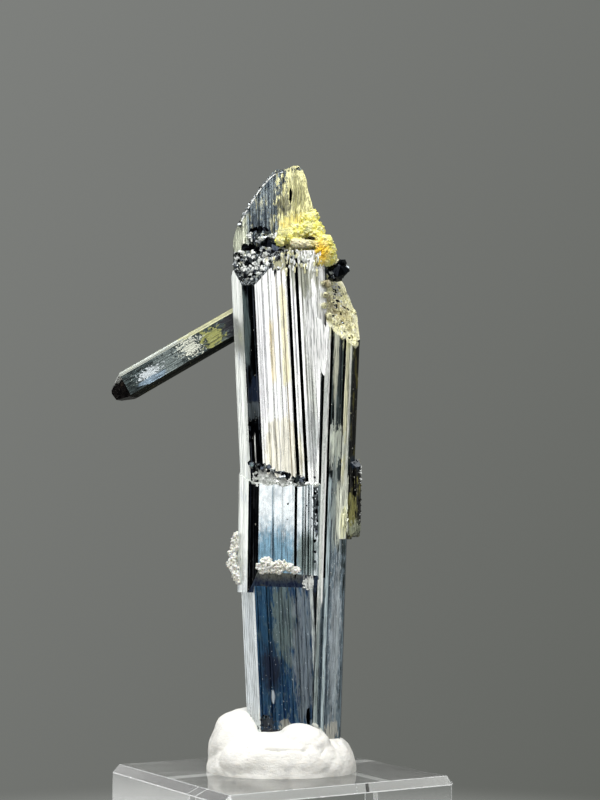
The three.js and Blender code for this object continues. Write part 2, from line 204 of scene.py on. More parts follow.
def combined(base: Solid, others: list[Solid], how: Combine) -> Solid:
    """Joins, cuts or intersects a solid with others, one after another.

    Args:
        base: The solid to start from, which is used up.
        others: The other solids, which are used up.
        how: What is done with each of them.

    Returns:
        The resulting solid, whose faces keep their skins.
    """
    scratch = tuple(scratch_material(skin) for skin in Skin)
    carrier = solid_object("carrier", base, scratch)
    tools = [solid_object("tool", other, scratch) for other in others]
    for tool in tools:
        modifier = carrier.modifiers.new("combine", "BOOLEAN")
        modifier.solver = "MANIFOLD"
        modifier.operation = how.value
        modifier.object = tool
    result = baked(carrier)
    for tool in tools:
        discard(tool)
    return result


def grown_together(solids: list[Solid]) -> Solid:
    """Joins many solids into one, in pairs, then in pairs of pairs.

    Args:
        solids: The solids, which are used up.

    Returns:
        The one solid.
    """
    while len(solids) > 1:
        pairs = zip(solids[0::2], solids[1::2])
        joined = [combined(first, [second], Combine.JOIN) for first, second in pairs]
        solids = joined + (solids[-1:] if len(solids) % 2 else [])
    return solids[0]


def scratch_material(skin: Skin) -> bpy.types.Material:
    """The empty material that keeps a skin's place while solids are put together."""
    name = f"scratch_{skin.name.lower()}"
    return bpy.data.materials.get(name) or bpy.data.materials.new(name)


def paint(faces: list[bmesh.types.BMFace], skin: Skin) -> None:
    """Gives faces one skin."""
    for face in faces:
        face.material_index = skin.value


def extruded(points: list[Vector], low: float, high: float) -> Solid:
    """A prism over a flat outline.

    Args:
        points: The outline in X and Y, in order.
        low: The height of its bottom.
        high: The height of its top.

    Returns:
        The closed prism.
    """
    solid = bmesh.new()
    ring = bmesh.ops.create_circle(solid, cap_ends=True, radius=1.0, segments=len(points))["verts"]
    for vertex, point in zip(ring, points):
        vertex.co = (point.x, point.y, low)
    grown = bmesh.ops.extrude_face_region(solid, geom=solid.faces[:])
    bmesh.ops.translate(solid, verts=vertices_of(grown), vec=(0, 0, high - low))
    bmesh.ops.recalc_face_normals(solid, faces=solid.faces[:])
    return solid


def placed(solid: Solid, size: Triple = UNSCALED, turn: Matrix = UNTURNED, centre: Triple = ORIGIN) -> Solid:
    """Scales, turns and moves a solid, in that order.

    Args:
        solid: The solid.
        size: Its scale along each axis.
        turn: Its rotation.
        centre: How far it moves.

    Returns:
        The same solid.
    """
    everything = solid.verts[:]
    bmesh.ops.scale(solid, verts=everything, vec=size)
    bmesh.ops.rotate(solid, verts=everything, cent=ORIGIN, matrix=turn)
    bmesh.ops.translate(solid, verts=everything, vec=centre)
    return solid


def nearest_point(spot: Vector, start: Vector, end: Vector) -> Vector:
    """The point of a straight stretch that lies nearest to a spot.

    Args:
        spot: The spot.
        start: The stretch's first point.
        end: The stretch's last point.

    Returns:
        The nearest point.
    """
    along = end - start
    share = max(0.0, min(1.0, (spot - start).dot(along) / along.length_squared))
    return start + along * share


def upright_plate(outline: tuple[Pair, ...], front: float, back: float, skin: Skin) -> Solid:
    """A plate that stands facing the front, over an outline of X and Z.

    Args:
        outline: The outline's corners, as X and Z.
        front: The Y of its front face.
        back: The Y of its back face.
        skin: Its finish.

    Returns:
        The closed plate.
    """
    solid = extruded([Vector(corner) for corner in outline], -back, -front)
    paint(solid.faces[:], skin)
    return placed(solid, turn=Matrix.Rotation(math.pi / 2, 3, "X"))


def ball(radius: float, fineness: int) -> Solid:
    """A ball of triangles.

    Args:
        radius: Its radius.
        fineness: How often it is subdivided.

    Returns:
        The closed ball.
    """
    solid = bmesh.new()
    bmesh.ops.create_icosphere(solid, subdivisions=fineness, radius=radius)
    return solid


def shard(centre: Triple, size: Triple, rng: random.Random, skin: Skin, sides: int = 5) -> Solid:
    """A broken bit of crystal: a short, slightly tapered prism, turned at random.

    Args:
        centre: Where it is.
        size: Its half width, half depth and half length.
        rng: The source of its turn.
        skin: Its finish.
        sides: How many sides it has.

    Returns:
        The closed shard.
    """
    solid = bmesh.new()
    taper = rng.uniform(0.55, 0.9)
    bmesh.ops.create_cone(solid, cap_ends=True, segments=sides, radius1=1.0, radius2=taper, depth=2.0)
    paint(solid.faces[:], skin)
    return placed(solid, size, Euler([rng.uniform(0, math.tau) for _ in range(3)]).to_matrix(), centre)


def grain(centre: Triple, radius: float, rng: random.Random, skin: Skin, fineness: int = 1) -> Solid:
    """A rounded grain or lump, a little uneven.

    Args:
        centre: Where it is.
        radius: Its mean radius.
        rng: The source of its stretch and unevenness.
        skin: Its finish.
        fineness: The subdivisions of the ball that it starts from.

    Returns:
        The closed grain.
    """
    solid = placed(ball(radius, fineness), [rng.uniform(0.8, 1.2) for _ in range(3)])
    shift = Vector([rng.uniform(-50, 50) for _ in range(3)])
    for vertex in solid.verts:
        vertex.co *= 1 + UNEVENNESS * noise.noise(vertex.co / radius * LUMPINESS + shift)
    paint(solid.faces[:], skin)
    return placed(solid, turn=Euler([rng.uniform(0, math.tau)] * 3).to_matrix(), centre=centre)


def melted(solids: list[Solid], voxel: float, smoothings: int) -> Solid:
    """Runs overlapping solids together into one closed skin.

    Args:
        solids: The solids, which are used up.
        voxel: The size of the skin's faces.
        smoothings: How often the skin is smoothed.

    Returns:
        The closed solid.
    """
    heap = bmesh.new()
    for solid in solids:
        mesh = bpy.data.meshes.new("lump")
        solid.to_mesh(mesh)
        solid.free()
        heap.from_mesh(mesh)
        bpy.data.meshes.remove(mesh)
    carrier = solid_object("heap", heap)
    remesh = carrier.modifiers.new("melt", "REMESH")
    remesh.mode = "VOXEL"
    remesh.voxel_size = voxel
    skin = baked(carrier)
    for _ in range(smoothings):
        bmesh.ops.smooth_vert(
            skin, verts=skin.verts[:], factor=0.5, use_axis_x=True, use_axis_y=True, use_axis_z=True
        )
    return skin


def finished_piece(
    name: str, solid: Solid, materials: tuple[bpy.types.Material, ...], crease: float, frame: Matrix
) -> bpy.types.Object:
    """Turns a solid into a finished piece of the scene.

    Args:
        name: The piece's name.
        solid: The solid, which is used up.
        materials: Its materials, in the order of its faces' skins.
        crease: The angle in degrees above which an edge stays sharp.
        frame: From the solid's frame to the row frame.

    Returns:
        The piece, at the origin and with its place in its mesh.
    """
    bmesh.ops.remove_doubles(solid, verts=solid.verts[:], dist=WELD)
    bmesh.ops.transform(solid, matrix=frame, verts=solid.verts[:])
    for face in solid.faces:
        face.smooth = True
    for edge in solid.edges:
        edge.smooth = len(edge.link_faces) == 2 and edge.calc_face_angle(0.0) < math.radians(crease)
    return solid_object(name, solid, materials)


# ------------ finishes


class Bench:
    """Lays out the shader nodes of one material or world."""

    def __init__(self, owner: bpy.types.Material | bpy.types.World) -> None:
        """Clears the owner's nodes.

        Args:
            owner: The material or the world.
        """
        owner.use_nodes = True
        self.owner = owner
        self.tree = owner.node_tree
        self.tree.nodes.clear()

    def node(self, kind: str, inputs: dict | None = None, **settings: object) -> bpy.types.Node:
        """Adds a node.

        Args:
            kind: The node's type.
            inputs: Values or sockets for its inputs, by name or number.
            settings: Values for its own settings.

        Returns:
            The node.
        """
        made = self.tree.nodes.new(kind)
        for key, value in settings.items():
            setattr(made, key, value)
        for key, value in (inputs or {}).items():
            if isinstance(value, Socket):
                self.tree.links.new(value, made.inputs[key])
            else:
                made.inputs[key].default_value = value
        return made

    def coordinates(self, frame: Matrix) -> Socket:
        """Millimetres in a piece's own frame.

        Args:
            frame: From that frame's millimetres to the row frame's metres.

        Returns:
            The coordinates' socket.
        """
        place, turn, scale = frame.inverted().decompose()
        source = self.node("ShaderNodeTexCoord").outputs["Object"]
        inputs = {"Vector": source, "Location": place, "Rotation": turn.to_euler(), "Scale": scale}
        return self.node("ShaderNodeMapping", inputs).outputs["Vector"]

    def noise(
        self, place: Socket, scale: Pair, detail: float = 3.0, roughness: float = 0.55, shift: float = 0.0
    ) -> Socket:
        """Noise between 0 and 1, streaked along Z or across it.

        Args:
            place: The coordinates.
            scale: Waves per millimetre across Z and along it.
            detail: How many finer layers it has.
            roughness: The strength of the finer layers.
            shift: Moves the pattern, so that two of them differ.

        Returns:
            The noise's socket.
        """
        across, along = scale
        inputs = {"Vector": place, "Scale": (across, across, along), "Location": (shift, 1.7 * shift, -shift)}
        stretched = self.node("ShaderNodeMapping", inputs).outputs["Vector"]
        inputs = {"Vector": stretched, "Scale": 1.0, "Detail": detail, "Roughness": roughness}
        return self.node("ShaderNodeTexNoise", inputs).outputs["Fac"]

    def step(
        self, value: Socket, start: float, end: float, low: float = 0.0, high: float = 1.0,
        kind: str = "SMOOTHSTEP",
    ) -> Socket:
        """A step of a value, smooth unless stated otherwise.

        Args:
            value: The value's socket.
            start: Where the step starts.
            end: Where the step ends.
            low: What it gives before the start.
            high: What it gives after the end.
            kind: How it climbs between them.

        Returns:
            The step's socket.
        """
        inputs = {"Value": value, "From Min": start, "From Max": end, "To Min": low, "To Max": high}
        return self.node("ShaderNodeMapRange", inputs, interpolation_type=kind).outputs["Result"]

    def math(self, how: str, first: object, second: object = 0.0) -> Socket:
        """One sum of two values or sockets, by the math node's operation."""
        return self.node("ShaderNodeMath", {0: first, 1: second}, operation=how).outputs[0]

    def mix(self, share: Socket, first: object, second: object) -> Socket:
        """Blends two colours.

        Args:
            share: How much of the second one shows.
            first: The first colour, as three numbers or a socket.
            second: The second colour, as three numbers or a socket.

        Returns:
            The colour's socket.
        """
        def whole(color: object) -> object:
            """A colour with its fourth number, or the socket as it is."""
            return color if isinstance(color, Socket) else (*color, 1.0)

        made = self.node("ShaderNodeMix", {0: share, 6: whole(first), 7: whole(second)}, data_type="RGBA")
        return made.outputs[2]

    def bump(self, height: Socket, depth: float, under: Socket | None = None) -> Socket:
        """Fine relief.

        Args:
            height: The relief's pattern.
            depth: Its depth in millimetres.
            under: The normal of a coarser relief below it.

        Returns:
            The normal's socket.
        """
        inputs = {"Height": height, "Distance": depth * MM, "Strength": 1.0}
        if under is not None:
            inputs["Normal"] = under
        return self.node("ShaderNodeBump", inputs).outputs["Normal"]

    def surface(self, inputs: dict) -> bpy.types.Material:
        """Finishes a material with a Principled surface.

        Args:
            inputs: Values or sockets for the surface's inputs.

        Returns:
            The material.
        """
        shader = self.node("ShaderNodeBsdfPrincipled", inputs)
        self.node("ShaderNodeOutputMaterial", {"Surface": shader.outputs["BSDF"]})
        return self.owner


@dataclass(frozen=True)
class Patch:
    """A stained or crusted place on a crystal round a point, or a painted highlight, sheen or shade there.

    strength is how much of it shows, matte how much it hides of the metal's shine, ragged how uneven its edge
    is, soft how wide the edge is, and scale the edge's waves per millimetre across the crystal and along it.
    On a crystal that leans, the centre's X is where the lean is counted from.
    """

    centre: Triple
    radii: Triple
    color: Triple
    strength: float = 0.95
    matte: float = 0.8
    ragged: float = 0.9
    soft: float = 0.2
    scale: Pair = (2.6, 0.8)

    def mask(self, bench: Bench, place: Socket) -> Socket:
        """The share of this patch at each point.

        Args:
            bench: The material's bench.
            place: The coordinates.

        Returns:
            The mask, from 0 to the patch's strength.
        """
        shares = tuple(1 / radius for radius in self.radii)
        start = tuple(-middle * share for middle, share in zip(self.centre, shares))
        around = bench.node("ShaderNodeMapping", {"Vector": place, "Scale": shares, "Location": start})
        distance = bench.node("ShaderNodeVectorMath", {0: around.outputs["Vector"]}, operation="LENGTH")
        waves = bench.noise(place, self.scale, detail=4, roughness=0.6, shift=self.centre[2])
        reach = bench.math("ADD", distance.outputs["Value"], bench.math("MULTIPLY", waves, 2 * self.ragged))
        edge = 1.0 + self.ragged
        return bench.step(reach, edge + self.soft, edge - self.soft, 0.0, self.strength)


STRIPE_WANDER = (1.5, 0.5)  # waves per millimetre across the crystal and along it
STRIPE_EDGE = (1.25, 0.6)  # where the edge ends and starts, as shares of the half width
STRIPE_FRAY = 3.0  # how far its ends are frayed


@dataclass(frozen=True)
class Stripe:
    """A narrow stripe that runs up a crystal.

    x is its middle where the crystal's lean is counted from, low and high are the heights that it runs
    between, and half is half its width.
    """

    x: float
    low: float
    high: float
    half: float
    color: Triple
    strength: float = 0.9
    matte: float = 0.3

    def mask(self, bench: Bench, place: Socket) -> Socket:
        """The share of this stripe at each point.

        Args:
            bench: The material's bench.
            place: The coordinates.

        Returns:
            The mask, from 0 to the stripe's strength.
        """
        axes = bench.node("ShaderNodeSeparateXYZ", {"Vector": place}).outputs
        wander = bench.noise(place, STRIPE_WANDER, detail=4, shift=self.x)
        middle = bench.math("ADD", axes["X"], bench.math("MULTIPLY", wander, self.half))
        offset = bench.math("ABSOLUTE", bench.math("SUBTRACT", middle, self.x + 0.5 * self.half))
        edges = (share * self.half for share in STRIPE_EDGE)
        across = bench.step(offset, *edges, 0.0, self.strength)
        height = bench.math("ADD", axes["Z"], bench.math("MULTIPLY", wander, STRIPE_FRAY))
        rising = bench.step(height, self.low + 1.0, self.low + 2.0)
        ending = bench.step(height, self.high + 2.0, self.high + 1.0)
        return bench.math("MULTIPLY", across, bench.math("MULTIPLY", rising, ending))


DASH_SCALE = (8.0, 0.35)
SPECK_SCALE = (5.0, 2.6)
HAIRLINE_SCALE = (11.0, 0.12)
GRIT_SCALE = (3.2, 2.2)
DEEP_SHARE = 0.35  # of a mark's colour, in the dashes across it
MARK_ROUGHNESS = 0.6
DASHES = (0.5, 0.64)  # where the dashes start and are full, in their noise
MARK_DASHES = (0.48, 0.62)
WORN_RANGE = (0.3, 0.7)
SPECK_RANGE = (0.72, 0.78)


@dataclass(frozen=True)
class StibniteFinish:
    """Metallic stibnite: streaked along the crystal, with tarnish, stains and specks, and painted light: many
    skins are set lighter or darker for the light their faces catch, and some marks are painted highlights,
    sheen or shade.

    lean and datum straighten a leaning crystal: its streaks and stripes keep their X where it crosses datum.
    """

    name: str
    bright: Triple
    shade: Triple
    tint: Triple
    streaks: Pair = (0.5, 0.62)
    tints: Pair = (0.56, 0.7)
    roughness: Pair = (0.14, 0.34)
    streak_scale: Pair = (3.8, 0.035)
    blotch_scale: Pair = (0.9, 0.28)
    broken: float = 0.35
    specks: float = 0.0
    speck_color: Triple = (0.8, 0.78, 0.66)
    metal: float = 1.0
    relief: float = 0.01
    grit: float = 0.0
    lean: float = 0.0
    datum: float = 0.0
    marks: tuple[Patch | Stripe, ...] = ()

    def upright(self, bench: Bench, place: Socket) -> Socket:
        """The coordinates with the crystal's lean taken out.

        Args:
            bench: The material's bench.
            place: The coordinates.

        Returns:
            The straightened coordinates.
        """
        axes = bench.node("ShaderNodeSeparateXYZ", {"Vector": place}).outputs
        rise = bench.math("SUBTRACT", axes["Z"], self.datum)
        x = bench.math("SUBTRACT", axes["X"], bench.math("MULTIPLY", rise, self.lean))
        return bench.node("ShaderNodeCombineXYZ", {"X": x, "Y": axes["Y"], "Z": axes["Z"]}).outputs["Vector"]

    def build(self, frame: Matrix) -> bpy.types.Material:
        """Makes the material.

        Args:
            frame: From the crystal's millimetres, with Z along its streaks, to the row frame.

        Returns:
            The material.
        """
        bench = Bench(bpy.data.materials.new(self.name))
        place = self.upright(bench, bench.coordinates(frame))
        streak = bench.noise(place, self.streak_scale, detail=5, roughness=0.65)
        dashes = bench.noise(place, DASH_SCALE, detail=4, roughness=0.6, shift=4.0)
        blotch = bench.noise(place, self.blotch_scale, detail=5, roughness=0.65, shift=7.0)
        lines = bench.step(streak, *self.streaks)
        color = bench.mix(lines, self.bright, self.shade)
        color = bench.mix(bench.step(blotch, *self.tints), color, self.tint)
        color = bench.mix(bench.step(dashes, *DASHES, 0.0, self.broken), color, self.shade)
        metal: object = self.metal
        worn = bench.step(blotch, *WORN_RANGE, *self.roughness)
        for mark in self.marks:
            mask = mark.mask(bench, place)
            deep = tuple(DEEP_SHARE * share for share in mark.color)
            color = bench.mix(mask, color, bench.mix(bench.step(dashes, *MARK_DASHES), mark.color, deep))
            cover = bench.math("MULTIPLY", mask, mark.matte)
            metal = bench.math("MULTIPLY", bench.math("SUBTRACT", 1.0, cover), metal)
            worn = bench.math("MAXIMUM", worn, bench.math("MULTIPLY", cover, MARK_ROUGHNESS))
        if self.specks > 0:
            dots = bench.noise(place, SPECK_SCALE, detail=2, shift=3.0)
            shown = bench.step(dots, *(edge - self.specks for edge in SPECK_RANGE))
            color = bench.mix(shown, color, self.speck_color)
            metal = bench.math("MULTIPLY", bench.math("SUBTRACT", 1.0, shown), metal)
        normal = bench.bump(bench.noise(place, HAIRLINE_SCALE, detail=3, shift=2.0), self.relief)
        if self.grit > 0:
            normal = bench.bump(bench.noise(place, GRIT_SCALE, detail=5, roughness=0.7), self.grit, normal)
        return bench.surface({"Base Color": color, "Metallic": metal, "Roughness": worn, "Normal": normal})


@dataclass(frozen=True)
class CrustFinish:
    """A dull, granular crust of another mineral."""

    name: str
    main: Triple
    pale: Triple
    deep: Triple
    roughness: float = 0.75
    glow: float = 0.12
    marks: tuple[Patch, ...] = ()

    def build(self, frame: Matrix) -> bpy.types.Material:
        """Makes the material.

        Args:
            frame: From the specimen's millimetres to the row frame.

        Returns:
            The material.
        """
        bench = Bench(bpy.data.materials.new(self.name))
        place = bench.coordinates(frame)
        mottle = bench.noise(place, (1.6, 1.6), detail=4)
        color = bench.mix(bench.step(mottle, 0.42, 0.6), self.main, self.pale)
        for mark in self.marks:
            color = bench.mix(mark.mask(bench, place), color, mark.color)
        grit = bench.noise(place, (6.0, 6.0), detail=4, roughness=0.7, shift=5.0)
        color = bench.mix(bench.step(grit, 0.58, 0.72, 0.0, 0.4), color, self.deep)
        return bench.surface(
            {
                "Base Color": color,
                "Roughness": self.roughness,
                "Normal": bench.bump(grit, 0.14),
                "Subsurface Weight": self.glow,
                "Subsurface Radius": (0.5, 0.35, 0.15),
                "Subsurface Scale": 0.4 * MM,
            }
        )


@dataclass(frozen=True)
class PuttyFinish:
    """Kneaded white putty, dull, with faint grey smudges."""

    name: str = "white_putty"
    main: Triple = (0.87, 0.855, 0.8)
    smudge: Triple = (0.66, 0.65, 0.62)
    cream: Triple = (0.82, 0.77, 0.67)
    grime: Triple = (0.16, 0.15, 0.14)

    def build(self, frame: Matrix) -> bpy.types.Material:
        """Makes the material.

        Args:
            frame: From the specimen's millimetres to the row frame.

        Returns:
            The material.
        """
        bench = Bench(bpy.data.materials.new(self.name))
        place = bench.coordinates(frame)
        cloud = bench.noise(place, (0.45, 0.6), detail=6, roughness=0.65)
        print_lines = bench.noise(place, (1.1, 3.0), detail=4, shift=4.0)
        specks = bench.noise(place, (3.4, 3.4), detail=2, shift=9.0)
        color = bench.mix(bench.step(cloud, 0.5, 0.66, 0.0, 0.7), self.main, self.smudge)
        color = bench.mix(bench.step(print_lines, 0.52, 0.7, 0.0, 0.4), color, self.cream)
        color = bench.mix(bench.step(specks, 0.66, 0.72, 0.0, 0.5), color, self.smudge)
        color = bench.mix(bench.step(specks, 0.735, 0.76, 0.0, 0.8), color, self.grime)
        relief = bench.bump(cloud, 0.12)
        relief = bench.bump(print_lines, 0.08, relief)
        return bench.surface(
            {
                "Base Color": color,
                "Roughness": bench.step(cloud, 0.3, 0.7, 0.5, 0.72),
                "Normal": bench.bump(bench.noise(place, (5.0, 5.0), detail=4), 0.04, relief),
                "Subsurface Weight": 0.15,
                "Subsurface Radius": (0.8, 0.7, 0.6),
                "Subsurface Scale": 0.5 * MM,
            }
        )


@dataclass(frozen=True)
class AcrylicFinish:
    """Acrylic with a slight haze: clear and polished, or partly frosted where it is worn."""

    name: str
    haze: Pair
    clearness: float
    refraction: float = 1.49
    color: Triple = (0.97, 0.985, 0.98)

    def build(self, frame: Matrix) -> bpy.types.Material:
        """Makes the material.

        Args:
            frame: From the block's millimetres to the row frame.

        Returns:
            The material.
        """
        bench = Bench(bpy.data.materials.new(self.name))
        place = bench.coordinates(frame)
        cloud = bench.noise(place, (0.5, 1.6), detail=5, roughness=0.65)
        return bench.surface(
            {
                "Base Color": (*self.color, 1.0),
                "Roughness": bench.step(cloud, 0.55, 0.8, *self.haze),
                "Transmission Weight": self.clearness,
                "IOR": self.refraction,
            }
        )


# Near-black, used as painted shade down deep slits and where the spur meets the upper stem.
BLACK = (0.012, 0.013, 0.02)
BROWN = (0.3, 0.25, 0.16)
LEMON = (0.88, 0.8, 0.34)
CREAM = (0.86, 0.82, 0.64)
OLIVE = (0.44, 0.42, 0.2)
MOSS = (0.42, 0.46, 0.38)
WHITE = (0.86, 0.87, 0.84)
